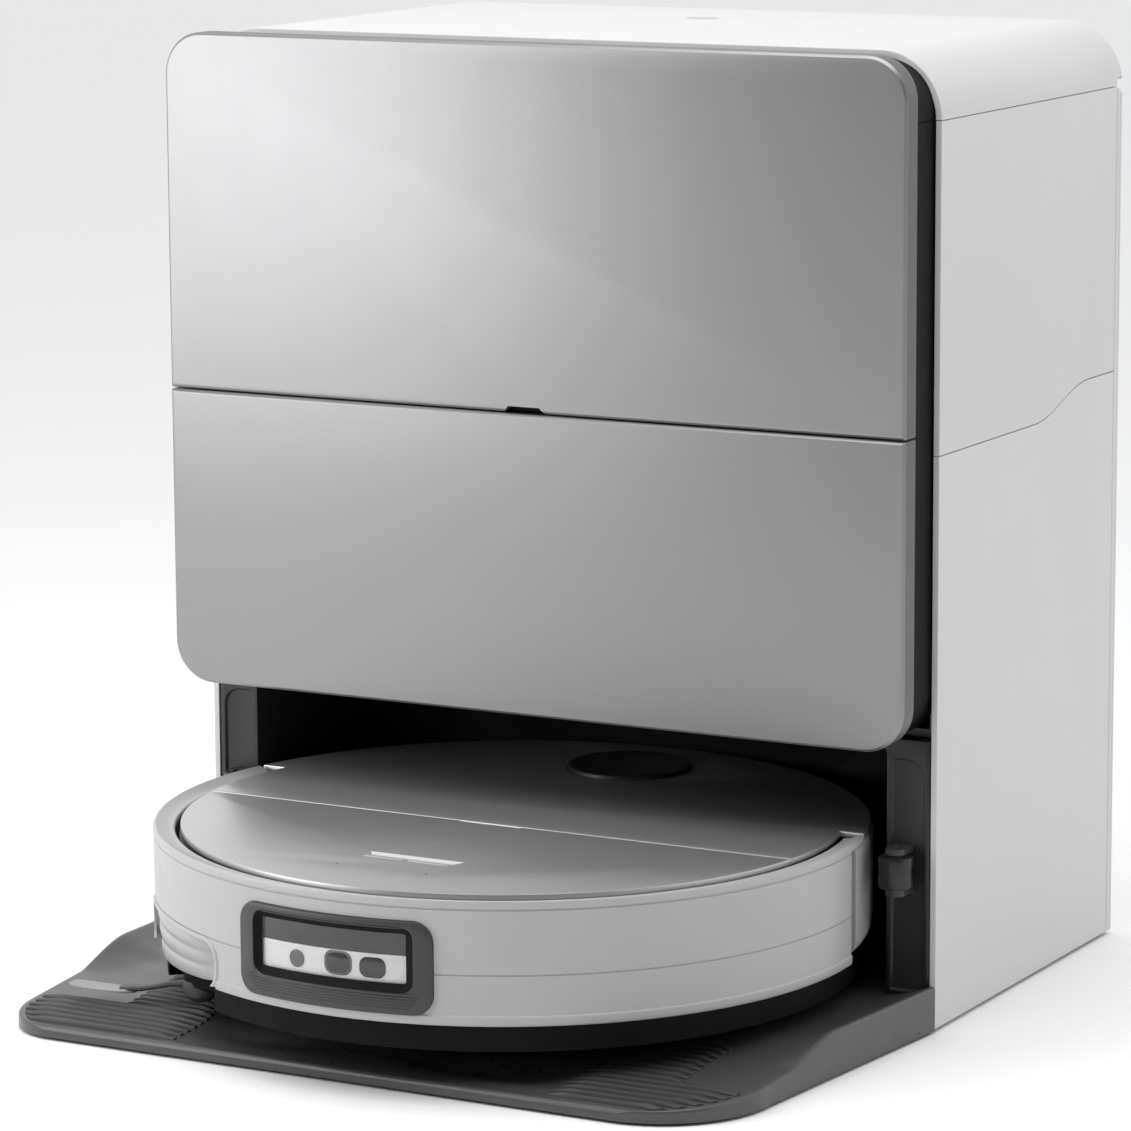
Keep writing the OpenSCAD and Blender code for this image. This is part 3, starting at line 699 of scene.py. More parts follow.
def half_width(y, side):
    """Distance from the middle to the edge; the left shoulder is the fuller one."""
    out, r = (left_shoulder, left_corner) if side < 0 else (shoulder, corner)
    centre = front_y + r
    if y < centre:
        return out - r + math.sqrt(max(0.0, r ** 2 - (y - centre) ** 2))
    if y > shell_y - 0.3:
        return floor_half
    return out + (half - out) * (y - centre) / (shell_y - 0.3 - centre)


def ramp(y):
    """Height along the middle of the ramp, before the dish and the cheeks."""
    away = y - front_y
    if away < 2:
        return 5.5 + 0.75 * away
    if away < 95:
        return 7.0 + 7.2 * (away - 2) / 93
    return 14.2 + (floor_top - 14.2) * step_up((away - 95) / 20)


def cheek(y):
    return 9.5 + (cheek_top - 9.5) * step_up((y - cheek_start) / (cheek_end - cheek_start))


def floor_height(x, y):
    away = half_width(y, x) - abs(x)
    height = ramp(y)
    if y > shell_y - 0.3:
        return height
    if y > cheek_start:
        lift = max(0.0, 1 - max(0.0, away - 2.5) / cheek_wide)
        height += max(0.0, cheek(y) - height) * lift ** 1.7
    dish = step_up((y - front_y - 9) / 22) * step_up((-96 - y) / 30) * step_up((104 - abs(x)) / 26)
    island = step_up((34 - abs(x + 5) - 0.35 * (y - front_y - 8)) / 9) * step_up((front_y + 33 - y) / 9)
    height -= 3.6 * dish * (1 - island)
    near = min(away, y - front_y)
    if near < edge_round:
        height -= edge_round - math.sqrt(max(0.0, edge_round ** 2 - (edge_round - near) ** 2))
    return height


print("floor height at the middle of the ramp:", round(floor_height(0, -140), 2))

# %% [markdown]
# The rows crowd together at the front edge and the columns at the cheeks, where the surface turns quickest.
# A flat copy of the same grid closes the underside.

# %% Floor moulding
def row_places():
    front = [front_y + corner - corner * math.cos(math.radians(a)) for a in range(0, 91, 3)]
    middle = [front_y + corner + 2.4 * i for i in range(1, 62)]
    rows = [front_y + 0.12, front_y + 0.5, front_y + 1.0, front_y + 1.7, *front[2:], *middle]
    return sorted(y for y in rows if y < shell_y - 0.4) + [shell_y - 0.31, shell_y - 0.29, 60, base_high.y]


def column_shares():
    """Shares of the half width, dense towards the outside."""
    return [math.sin(math.pi / 2 * i / 44) for i in range(-44, 45)]


ys, shares = row_places(), column_shares()
wide = len(shares)
points = []
for y in ys:
    spread_out = [half_width(y, u) * u for u in shares]
    points += [Vector((x, y, floor_height(x, y))) for x in spread_out]
points += [Vector((p.x, p.y, underside)) for p in points]
under = len(ys) * wide
faces = []
for i in range(len(ys) - 1):
    for j in range(wide - 1):
        a = i * wide + j
        faces.append((a, a + 1, a + wide + 1, a + wide))
        faces.append((under + a, under + a + wide, under + a + wide + 1, under + a + 1))
    for j in (0, wide - 1):
        a = i * wide + j
        faces.append((a, a + wide, under + a + wide, under + a))
for j in range(wide - 1):
    for row in (0, len(ys) - 1):
        a = row * wide + j
        faces.append((a, a + 1, under + a + 1, under + a))
floor_piece = new_object("floor_moulding", points, faces)
tray_low, tray_high = box_mm("wash_tray")
well = panel(
    "well", rounded(-150, 150, tray_low.y - 0.3, tray_high.y + 0.3, (2,) * 4, 3), "z",
    [(0, tray_low.z), (0, 30)]
)
carve(floor_piece, well)
piece(floor_piece, "dock", "charcoal", "base_plate")
# The floor moulding takes the lighter copy of the charcoal, which is painted light on the ramp.
floor_piece.data.materials[0] = finishes["lit_ramp_plastic"]

# %% [markdown]
# ## The treads
# Where the robot's tyres climb, the ramp has rubber-like ribs across it, closely spaced and rounded on
# top. Each rib is a small bar that follows the slope; its two ends stop at the curved borders of the
# ribbed patch.

# %% Ribbed treads
rib_pitch = 6.0
rib_tall = 2.2


def tread_inner(away):
    """Inner border of the ribbed patch at a distance from the front edge."""
    return 101.0 + 20.0 * step_up((away - 30) / 62)


def tread_outer(away, y, side):
    """Outer border of the ribbed patch, which stays inside the rounded corner."""
    return min(196.0, half_width(y, side) - 4.0) if away < 41 else 151.0


def rib(side, away):
    """One rounded bar from the inner to the outer border, its height following the floor."""
    side_of_rib = [(1.7, -0.6), (1.55, rib_tall * 0.6), (0.9, rib_tall)]
    section = [(-a, h) for a, h in side_of_rib] + side_of_rib[::-1]
    rings = []
    for i in range(9):
        ring = []
        for along, rise in section:
            y = front_y + away + along
            x = tread_inner(away + along) + (tread_outer(away, y, side) - tread_inner(away + along)) * i / 8
            ring.append(
                Vector(
                    (side * x, y, floor_height(side * x, y) + rise * min(1.0, 0.35 + i) * min(1.0, 8.35 - i))
                )
            )
        rings.append(ring)
    return loft("rib", rings)


ribs = []
for side in (-1, 1):
    away = 7.0
    while away < 93:
        ribs.append(rib(side, away))
        away += rib_pitch
treads = joined(*ribs)
treads.name = "tread_ribs"
piece(treads, "dock", "tread_rubber", "ramp_treads")

# %% [markdown]
# ## The bay
# Behind the ramp the robot parks in a charcoal liner with rounded inner corners. Its finish is a darker copy of
# the charcoal, painted shade for the bay. Each pillar in front carries a shallow panel with a round upper
# corner, which breaks up what would be a dull flat strip.

# %% Bay liner
liner_low, liner_high = box_mm("bay_liner")
bay_half, bay_back, bay_top = 177.0, 132.0, liner_high.z - 3.4
liner = rounded_panel("bay_moulding", (liner_low.x, liner_high.x, liner_low.y, liner_high.y), (1.5, 1.5,
    3, 3), "z", [
    (0, liner_low.z), (0, liner_high.z)], 4)
bay_room = rounded_panel("bay_room", (-bay_half, bay_half, -60, bay_back), (28,) * 4, "z", [
    (0, 0), (0, bay_top - 4), (1.2, bay_top - 1.2), (4, bay_top)], 12)
pillars = []
for side in (-1, 1):
    x0, x1 = sorted((side * (bay_half + 3.5), side * 220.0))
    pillars.append(block("pocket", x0, x1, liner_low.y + 4, bay_back - 30, liner_low.z + 3, bay_top - 3, 0.1))
    x0, x1 = sorted((side * (bay_half + 2.2), side * (liner_high.x - 3.0)))
    radii = (1, 1, 9, 3) if side > 0 else (1, 1, 3, 9)
    pillars.append(rounded_panel("recess", (x0, x1, liner_low.z + 3, bay_top - 6), radii, "y", [
        (0, liner_low.y - 1), (0, liner_low.y), (0.9, liner_low.y + 1.4)], 6))
    pillars.append(
        turned(
            "contact_hole", [(0.01, 120), (4.1, 120), (4.1, 140), (0.01, 140)], about_y(side * 29.0, 52.5),
            step=12
        )
    )
carve(liner, bay_room, *pillars)
soften(liner, 0.7, 2, 50)
piece(liner, "dock", "charcoal", "bay_liner")
# The liner takes the darker copy of the charcoal, which is painted shade in the bay.
liner.data.materials[0] = finishes["shaded_bay_plastic"]

# %% [markdown]
# A roller on each pillar steers the robot as it backs in. It is a short rubber barrel on an upright pin,
# turned here with a slight waist and rounded rims.

# %% Guide rollers
for hand in ("left", "right"):
    low, high = box_mm("guide_roller_" + hand)
    cx, cy = (low.x + high.x) / 2, (low.y + high.y) / 2
    outer = (high.x - low.x) / 2
    profile = [(1.6, low.z), (outer - 1.6, low.z), (outer - 0.4, low.z + 0.6), (outer, low.z + 2),
        (outer - 0.5, low.z + 8),
               (outer, high.z - 2), (outer - 0.4, high.z - 0.6), (outer - 1.6, high.z), (1.6, high.z)]
    piece(
        turned("roller_" + hand, profile, about_z(cx, cy), step=10), "guide_roller_" + hand,
        "roller_rubber", "guide_roller_" + hand
    )

# %% [markdown]
# ## The robot
# The robot is round, so every piece of its casing is a profile swept about its upright axis. Its centre
# and radius come from the pan and the bumper, and heights are counted from its wheels' contact line.

# %% Robot axis
robot_pan_low, robot_pan_high = box_mm("robot_pan")
bumper_high = box_mm("bumper")[1]
robot_tall = 80.0
robot_y = (robot_pan_low.y + robot_pan_high.y) / 2
robot_r = bumper_high.x
robot_floor = bumper_high.z - robot_tall


def round_robot(r, a, h):
    return Vector((r * math.sin(a), robot_y - r * math.cos(a), robot_floor + h))


def shifted(outline):
    """An outline drawn about the robot's centre, moved to where the robot is parked."""
    return [p + Vector((0, robot_y)) for p in outline]


def at(height):
    return robot_floor + height


print("robot radius:", round(robot_r, 1), "centre y:", round(robot_y, 1))

# %% [markdown]
# The bumper is a springy white ring open to the back. Its section has a raised lip with a sloping inner
# side, a fine double line below the lip, a parting line at half height and a brighter turned-out foot.
# Drawing the section once and sweeping it gives all of these without any cutting.

# %% Bumper
R = robot_r
bumper_end, rim_end = 96.0, 103.0
lip = [
    (R - 1.6, 80), (R - 2.6, 79.7), (R - 7.0, 77.9), (164.9, 77.9), (164.2, 77.4), (164.2, 74.9),
    (165.4, 74.9), (165.8, 76.7)
]
wall_section = [
    (R - 4, 21), (R - 1.6, 21), (R - 0.5, 21.6), (R, 22.8), (R, 25.6), (R - 0.5, 26.3), (R - 0.5, 44.7),
        (R - 0.95, 44.95),
    (R - 0.95, 45.35), (R - 0.5, 45.6), (R - 0.5, 75.2), (R - 0.9, 75.5), (R - 0.9, 76.0), (R - 0.35, 76.3),
    (R - 0.2, 78.4), (R - 0.7, 79.6)]
bumper_ring = turned(
    "bumper_ring", wall_section + lip + [(R - 4, 76.7)], round_robot, -bumper_end, bumper_end, 1.5
)
rim_section = [(R - 4, 76.7), (R - 0.9, 76.7), (R - 0.35, 77), (R - 0.2, 78.4), (R - 0.7, 79.6)]
rims = [
    turned("rim", rim_section + lip, round_robot, min(a, b), max(a, b), 1.5)
    for a, b in ((bumper_end, rim_end), (-bumper_end, -rim_end))]


def wrap(s, z, r):
    """A point on the robot's side: s is the arc from the front, measured on the bumper."""
    return round_robot(r, s / robot_r, z)


def side_columns(s0, s1, z0, z1, radius, margin, steps=8, middle=24):
    """A rounded rectangle on the side as columns (s, low, high), which keep a wrapped patch curved."""
    left, right, low, high = s0 + margin, s1 - margin, z0 + margin, z1 - margin
    r = max(radius - margin, 0.3)
    made = []
    for i in range(steps + 1):
        t = math.pi / 2 * i / steps
        made.append((left + r * (1 - math.cos(t)), low + r * (1 - math.sin(t)), high - r * (1 - math.sin(t))))
    inner = [left + r + (right - left - 2 * r) * i / middle for i in range(1, middle)]
    made += [(s, low, high) for s in inner]
    made += [(left + right - s, a, b) for s, a, b in made[steps::-1]]
    return made


def wrapped(name, rings, start_cap=True, end_cap=True):
    """A loft of column sets laid on the robot's side; rings is a list of (columns, radius)."""
    n = len(rings[0][0])
    points = []
    for columns, r in rings:
        points += [wrap(s, low, r) for s, low, high in columns]
        points += [wrap(s, high, r) for s, low, high in reversed(columns)]
    faces = []
    for i in range(len(rings) - 1):
        for j in range(2 * n):
            k = (j + 1) % (2 * n)
            faces.append((2 * n * i + j, 2 * n * i + k, 2 * n * (i + 1) + k, 2 * n * (i + 1) + j))
    for ring, wanted in ((0, start_cap), (len(rings) - 1, end_cap)):
        if wanted:
            base = 2 * n * ring
            faces += [
                (base + j, base + j + 1, base + 2 * n - 2 - j, base + 2 * n - 1 - j)
                for j in range(n - 1)
            ]
    return new_object(name, points, faces)


def arc_at(degrees):
    return math.radians(degrees) * robot_r


bezel_s = arc_at(17.0)
bezel_low, bezel_high = 25.5, 69.5
brush_gap = wrapped(
    "brush_gap", [(side_columns(arc_at(-59), arc_at(-24), 5, 43, 9, 0), r) for r in (R - 9, R + 5)]
)
bezel_gap = wrapped(
    "bezel_gap",
    [(side_columns(-bezel_s, bezel_s, bezel_low, bezel_high, 10, -0.2), r) for r in (R - 9, R + 5)]
)
carve(bumper_ring, brush_gap, bezel_gap)
joined(bumper_ring, *rims)
piece(bumper_ring, "bumper", "robot_white", "bumper")

# %% [markdown]
# The gap at the left front lets the side brush swing out. Its border is turned out into a thin lip, so it
# gets a bead of its own that runs up the edge and over the top of the gap.

# %% Lip round the brush gap
gap_lip = wrapped("gap_lip", [
    (side_columns(arc_at(-59), arc_at(-24), 21.4, 43, 9, m), r)
    for m, r in ((0.0, R - 1), (-0.2, R + 0.2), (-1.4, R + 0.3), (-2.2, R - 0.45))], False, False)
below = block("below", -R - 9, R, robot_y - R - 9, robot_y, at(0), at(22.5), 0.1)
carve(gap_lip, below)
piece(gap_lip, "bumper", "robot_white")

# %% [markdown]
# ## The sensor bezel and window
# A charcoal frame flares out round the window, with fine grooves across its lower flare. The window
# itself is clear gloss over a printed plate: dark above, white below, with a round lamp and two lens
# openings in the white.

# %% Bezel
pane = (-arc_at(13.0), arc_at(13.0), 39.0, 64.0)
outer_edge = (-bezel_s, bezel_s, bezel_low, bezel_high)
bezel = wrapped("sensor_frame", [
    (side_columns(*outer_edge, 9.5, 0.0), R - 4),
    (side_columns(*outer_edge, 9.5, 0.0), R + 0.4),
    (side_columns(*outer_edge, 9.5, 0.4), R + 1.2),
    (side_columns(*outer_edge, 9.5, 1.4), R + 1.7),
    (side_columns(pane[0] - 3, pane[1] + 3, pane[2] - 3.4, pane[3] + 2.2, 4.5, 0), R + 1.6),
    (side_columns(pane[0] - 1.6, pane[1] + 1.6, pane[2] - 1.6, pane[3] + 1.4, 3.2, 0), R + 0.6),
    (side_columns(*pane, 2.4, -0.9), R - 0.6),
    (side_columns(*pane, 2.0, 0.0), R - 1.4),
    (side_columns(*pane, 2.0, 0.0), R - 4)], False, False)
grooves = []
for i in range(6):
    z = bezel_low + 2.4 + 1.35 * i
    reach = bezel_s - 11 + 1.1 * i
    grooves.append(wrapped("groove", [
        (side_columns(-reach, reach, z, z + 0.75, 0.3, 0), R + 1.2),
        (side_columns(-reach, reach, z, z + 0.75, 0.3, 0.05), R + 1.85),
        (side_columns(-reach, reach, z, z + 0.75, 0.3, 0.25), R + 2.0)]))
joined(bezel, *grooves)
piece(bezel, "bumper", "charcoal", "sensor_bezel")
liner_ring = wrapped("pane_liner", [
    (side_columns(*pane, 4.6, -3.1), R + 1.2),
    (side_columns(*pane, 4.4, -2.9), R + 1.75),
    (side_columns(*pane, 3.4, -1.6), R + 1.1),
    (side_columns(*pane, 2.2, -0.3), R - 0.1),
    (side_columns(*pane, 2.0, 0.7), R - 0.5),
    (side_columns(*pane, 2.0, 0.7), R - 1.5)], False, False)
piece(liner_ring, "bumper", "black_plastic")

# %% [markdown]
# Behind the clear pane lie two thin masks, dark above and white below, and the lamp and lenses stand
# slightly proud of the white. On the real part the masks could be one printed plate. Separate pieces are
# used here, because they keep each border crisp without anything drawn on a surface.

# %% Window and what is behind it
split_z = 52.6
glass = wrapped(
    "window_pane",
    [
        (side_columns(*pane, 1.8, 0.1), R - 1.5), (side_columns(*pane, 1.8, 0.1), R - 0.9),
        (side_columns(*pane, 1.8, 0.4), R - 0.7)
    ]
)
piece(glass, "bumper", "window_glass", "sensor_window")
upper_mask = wrapped(
    "upper_mask", [(side_columns(pane[0], pane[1], split_z, pane[3], 1.0, 0), r) for r in (R - 4, R - 2.2)]
)
piece(upper_mask, "bumper", "gloss_black", "sensor_lenses")
lower_mask = wrapped(
    "lower_mask", [(side_columns(pane[0], pane[1], pane[2], split_z, 1.0, 0), r) for r in (R - 4, R - 2.2)]
)
piece(lower_mask, "bumper", "robot_white")
lower_mask.data.materials[0] = finishes["window_plate"]


def lens_at(name, s, z, wide, tall, radius, slot, proud=0.5):
    made = wrapped(name, [
        (side_columns(s - wide / 2, s + wide / 2, z - tall / 2, z + tall / 2, radius, m, 8, 6), r)
        for m, r in ((0, R - 3), (0, R - 2.2 + proud * 0.6), (0.5, R - 2.2 + proud))])
    return piece(made, "bumper", slot)


lens_at("fill_lamp", -18.6, 45.8, 8.4, 8.4, 4.1, "grey_plastic")
lens_at("left_lens_rim", 4.2, 46.6, 14.6, 11.4, 4.4, "grey_plastic", 0.35)
lens_at("left_lens", 4.2, 46.6, 12.4, 9.6, 4.0, "gloss_black", 0.6)
lens_at("right_lens", 22.0, 46.0, 13.2, 9.6, 3.8, "gloss_black", 0.5)

# %% [markdown]
# ## The rear skirt
# The back half of the robot's side doesn't move. It is a plain white wall whose foot draws in with a large
# radius, so that it clears the carpet and the rollers in the bay.

# %% Rear skirt
skirt_start = 97.6
foot = [
    (R - 8 + 8 * math.sin(math.radians(a)), 33 - 10 * math.cos(math.radians(a)))
    for a in range(0, 91, 15)
]
skirt = turned("rear_skirt", [(R - 10.5, 23)] + foot + [(R, 75.6), (R - 1.2, 76.7), (R - 3.8, 76.7),
    (R - 3.8, 33), (R - 8, 27), (R - 10.5, 25.5)],
               round_robot, skirt_start, 360 - skirt_start, 1.5)
piece(skirt, "robot", "robot_white", "robot_skirt")

# %% [markdown]
# ## The top plates
# Two satin plates cover the robot and meet along a straight seam. The rear one steps out over the rim
# behind the bumper. A thin bright edge shows along the seam, so each plate is a real plate with a
# chamfer, set in a slightly narrower dark body.

# %% Plate outlines
plate_low, plate_high = box_mm("deck_front")
seam_y = plate_high.y - robot_y + 0.3
plate_r = robot_y - plate_low.y
rear_r = R - 1.2
step_y = 42.0


def front_outline():
    end = math.degrees(math.acos(-(seam_y - 0.3) / plate_r))
    return [
        Vector((plate_r * math.sin(t), -plate_r * math.cos(t)))
        for t in [math.radians(-end + 2 * end * i / 110) for i in range(111)]
    ]


def rear_outline():
    start = math.degrees(math.acos(-(seam_y + 0.3) / plate_r))
    turn = math.degrees(math.acos(-step_y / plate_r))
    wide = math.degrees(math.acos(-step_y / rear_r))
    side = [(plate_r, start + (turn - start) * i / 8) for i in range(9)]
    side += [(rear_r, wide + (180 - wide) * i / 60) for i in range(61)]
    there = [Vector((r * math.sin(math.radians(a)), -r * math.cos(math.radians(a)))) for r, a in side]
    return there + [Vector((-p.x, p.y)) for p in reversed(there[:-1])]


def plate_steps(top, thick=3.0):
    return [(0, top - thick), (0, top - 0.9), (0.25, top - 0.3), (0.9, top)]


# %% [markdown]
# The front plate has a shallow slanted tray, and in it the slot that the two buttons sit in. A finger
# slot at the seam and three pin holes complete it. Each is cut by its own tool, as a stamped plate would
# be pierced.

# %% Front plate and its buttons
deck_top = at(robot_tall)
front_plate = panel("deck_plate_front", shifted(front_outline()), "z", plate_steps(deck_top))
button_low, button_high = box_mm("power_button", "home_button")
by0, by1 = button_low.y, button_high.y
tray_outline = [
    Vector(p)
    for p in ((-26.5, by0 - 0.6), (24.4, by0 - 0.6), (28.2, by1 + 4.6), (-22.6, by1 + 4.6))
]
slot_tray = panel(
    "slot_tray", tray_outline, "z", [(1.2, deck_top - 1.3), (0, deck_top + 0.05), (0, deck_top + 2)]
)
slot_deep = panel(
    "slot_deep", rounded(-24, 24, by0 - 0.3, by1 + 0.3, (0.6,) * 4, 2), "z",
    [(0, deck_top - 6), (0, deck_top + 1)]
)
finger = panel(
    "finger", rounded(-17, 17, plate_high.y - 2.6, plate_high.y + 2, (1.2,) * 4, 3), "z",
    [(0, deck_top - 2), (0, deck_top + 1)]
)
pin_holes = [
    turned(
        "pin_hole", [(0.01, deck_top - 6), (0.7, deck_top - 6), (0.8, deck_top + 1), (0.01, deck_top + 1)],
        about_z(x, robot_y + y), step=30
    )
    for x, y in ((-24, -126), (24, -126), (0, -76))]
carve(front_plate, slot_tray, slot_deep, finger, *pin_holes)
piece(front_plate, "robot", "deck_silver", "deck_front")
for name in ("power_button", "home_button"):
    low, high = box_mm(name)
    cap = panel(name + "_cap", rounded(low.x, high.x, low.y, high.y, (1.2,) * 4, 4), "z", [
        (0, low.z), (0, high.z - 1.0), (0.3, high.z - 0.3), (0.9, high.z)])
    piece(cap, name, "robot_white", name)

# %% [markdown]
# The rear plate has one round well for the turret. Its cutting tool is turned with a wider mouth, so the
# edge of the well gets a small chamfer in the same cut.

# %% Rear plate
rear_plate = panel("deck_plate_rear", shifted(rear_outline()), "z", plate_steps(deck_top))
turret_low, turret_high = box_mm("turret")
turret_x, turret_y = 0.0, (turret_low.y + turret_high.y) / 2
turret_r = (turret_high.x - turret_low.x) / 2
well = turned("well", [(0.01, deck_top - 9), (turret_r + 0.5, deck_top - 9), (turret_r + 0.5,
    deck_top - 0.6), (turret_r + 1.1, deck_top + 1), (0.01, deck_top + 1)],
              about_z(turret_x, turret_y), step=4)
carve(rear_plate, well)
piece(rear_plate, "robot", "deck_silver", "deck_rear")

# %% [markdown]
# The turret lifts out of the rear plate on three posts and shelters the turning scanner. Its cap is a
# shallow dish with a rounded rim.

# %% Turret
top = turret_high.z
cap = turned("turret_cap", [(0.01, top - 2.8), (turret_r - 1, top - 2.8), (turret_r, top - 2.2),
    (turret_r, top - 1.2), (turret_r - 0.5, top - 0.3),
                            (turret_r - 1.4, top), (turret_r - 3, top - 0.1), (turret_r - 4, top - 0.5),
                                (0.01, top - 0.6)],
             about_z(turret_x, turret_y), step=4)
ring_low = turned("ring", [(4.1, turret_low.z), (turret_r - 0.4, turret_low.z), (turret_r,
    turret_low.z + 0.4), (turret_r, turret_low.z + 3.6),
                           (
                               turret_r - 0.4, turret_low.z + 4
                           ), (4.1, turret_low.z + 4)], about_z(turret_x, turret_y), step=4)
posts = []
for a in (30, 150, 270):
    px = turret_x + 28.5 * math.cos(math.radians(a))
    py = turret_y + 28.5 * math.sin(math.radians(a))
    posts.append(turned("post", [(0.01, turret_low.z + 3.9), (2.6, turret_low.z + 3.9), (2.0,
        turret_low.z + 6), (2.0, top - 5), (2.6, top - 2.7), (0.01, top - 2.7)],
                        about_z(px, py), step=20))
joined(cap, ring_low, *posts)
piece(cap, "turret", "charcoal", "turret")

# %% [markdown]
# ## The side brush and its housing
# A folded, milky housing carries the side brush on a swinging arm. Its skin follows the robot's side and
# steps inwards in soft folds towards the floor. The brush has two dark arms that end in curved, pale
# paddles.

# %% Brush housing
arm_low = box_mm("side_brush_arm")[0]
pivot = Vector((-56.0, robot_y - 126.0))
brush_low, brush_high = box_mm("side_brush")
hub = Vector(((brush_low.x + brush_high.x) / 2, robot_y - 118.0))


def capsule(a, b, ra, rb, steps=14):
    """The outline round two circles."""
    along = b - a
    turn = math.degrees(math.atan2(along.y, along.x))
    lean = math.degrees(math.asin((ra - rb) / along.length))
    return (arc(a.x, a.y, ra, turn + 90 - lean, turn + 270 + lean, steps)
            + arc(b.x, b.y, rb, turn - 90 + lean, turn + 90 - lean, steps))


def housing_section(share, turn):
    """Three soft folds that step inwards as they go down; the right end ducks behind the bumper."""
    low = 13.5 + 8.5 * share
    duck = 6.5 * step_up((turn + 33) / 7)
    outer = []
    for i in range(33):
        down = i / 32
        fold = 1.0 * (1 - math.sqrt(abs(math.sin(3 * math.pi * down))))
        r = max(R - 1.3 - (2.6 + 5.0 * share) * down - fold - duck, R - 10)
        outer.append((r, 42.3 - (42.3 - low) * down))
    return outer + [(r - 1.1, h) for r, h in reversed(outer)]


rings = []
for i in range(36):
    share = i / 35
    turn = -58.0 + 35.0 * share
    rings.append([round_robot(r, math.radians(turn), h) for r, h in housing_section(share, turn)])
cover = loft("brush_housing", rings)
low_z = arm_low.z
gearbox = loft("gearbox", [placed(capsule(hub, pivot, ra, rb), "z", low_z + h) for h, ra, rb in (
    (0, 6, 6), (1.5, 8, 8), (31, 9, 9), (32.5, 8, 8))])
piece(cover, "side_brush_arm", "robot_white")
# The gearbox takes the near-black finish as painted shade, so that it reads as the shadow under the housing.
piece(gearbox, "side_brush_arm", "black_plastic", "side_brush_arm")

# %% [markdown]
# The brush is a turned spindle with two opposite blades. A blade thins towards its middle, widens into a
# paddle and curves, so it is a loft through short sections set along a line. Real blades bend; these are
# rigid.

# %% Side brush
spindle_steps = [
    (0.01, 1.6), (5, 1.6), (8.2, 4.5), (8.8, 9), (8.2, 12), (5, 12.8), (4.9, 31.8), (4.4, 32.4),
    (0.01, 32.4)
]
spindle = turned(
    "side_brush_blades", [(r, brush_low.z + h) for r, h in spindle_steps], about_z(hub.x, hub.y), step=15)
reach = (brush_high.x - brush_low.x) / 2
arms, paddles = [], []
for turn in (0.0, math.pi):
    along = Vector((-math.cos(turn), -math.sin(turn)))
    across = Vector((-along.y, along.x))

    def bar(name, steps):
        """A rounded bar along the blade; each step is (distance, offset, half width, low, high)."""
        rings = []
        for far, off, wide, low, high in steps:
            centre = hub + along * far
            ring = []
            for u, v in ((-1, 0.3), (-0.8, 0), (0.8, 0), (1, 0.3), (1, 0.7), (0.8, 1), (-0.8, 1), (-1, 0.7)):
                p = centre + across * (off + wide * u)
                ring.append(Vector((p.x, p.y, brush_low.z + low + (high - low) * v)))
            rings.append(ring)
        return loft(name, rings)

    arms.append(bar("arm", [
        (6, 0, 4.4, 8.6, 12.0), (16, 0.2, 3.2, 6.8, 9.6), (24, 0.4, 2.8, 4.6, 7.2), (32, 0.4, 2.8, 2.6, 5.2),
        (40, 0.2, 3.4, 1.4, 4.2), (45, 0, 2.6, 1.4, 3.4)]))
    paddles.append(bar("paddle", [
        (37, 0.2, 2.2, 0.9, 2.6), (41, 0, 4.2, 0.6, 2.6), (48, -1.4, 5.4, 0.2, 1.6), (56, -1.8, 6.2, 0.1,
            1.3),
        (64, -0.8, 6.2, 0.4, 1.5), (70, 0.8, 5.6, 1.2, 2.2), (reach - 3.5, 1.8, 3.6, 1.8, 2.8)]))
joined(spindle, *arms)
piece(spindle, "side_brush", "charcoal", "side_brush")
blades = joined(*paddles)
blades.name = "side_brush_paddles"
piece(blades, "side_brush", "brush_rubber")

# %% [markdown]
# ## Under the robot
# Turning the robot over shows its working side: two treaded wheels, a swivelling caster, a rubber main
# brush with twisted fins and two round mop pads. They barely show when the robot is parked, but they show
# as it drives out.

# %% Drive wheels
for hand, side in (("left", -1), ("right", 1)):
    low, high = box_mm("wheel_" + hand)
    cy, cz = (low.y + high.y) / 2, (low.z + high.z) / 2
    r = (high.z - low.z) / 2
    x0, x1 = (low.x, high.x) if side > 0 else (high.x, low.x)
    out = side
    hollow_x = x1 - 4 * out
    section = [(4.05, x0), (r - 7, x0), (r - 3, x0 + 0.8 * out), (r - 1.6, x0 + 3 * out), (r - 1.2,
        x0 + 11 * out), (r - 1.6, x1 - 3 * out),
               (r - 3, x1 - 0.8 * out), (r - 6, x1), (20, x1), (19, hollow_x), (4.05, hollow_x)]
    tyre = turned("tyre_" + hand, section, about_x(cy, cz), step=6)
    bars = []
    for k in range(30):
        bars.append(
            block(
                "bar", min(x0 + 2 * out, x1 - 2 * out), max(x0 + 2 * out, x1 - 2 * out), cy - 1.3, cy + 1.3,
                cz + r - 3, cz + r, 0.5
            )
        )
        spin = (
            Matrix.Translation((0, cy * MM, cz * MM))
            @ Matrix.Rotation(math.radians(12 * k), 4, "X")
            @ Matrix.Translation((0, -cy * MM, -cz * MM))
        )
        bars[-1].data.transform(spin)
    joined(tyre, *bars)
    piece(tyre, "wheel_" + hand, "tread_rubber", "wheel_" + hand)

# %% [markdown]
# The main brush is an axle with six rubber fins. The fins lean one way on the left half and the other way on
# the right, which is how such a brush feeds dirt to the middle. A fin is a loft whose sections turn as they go.

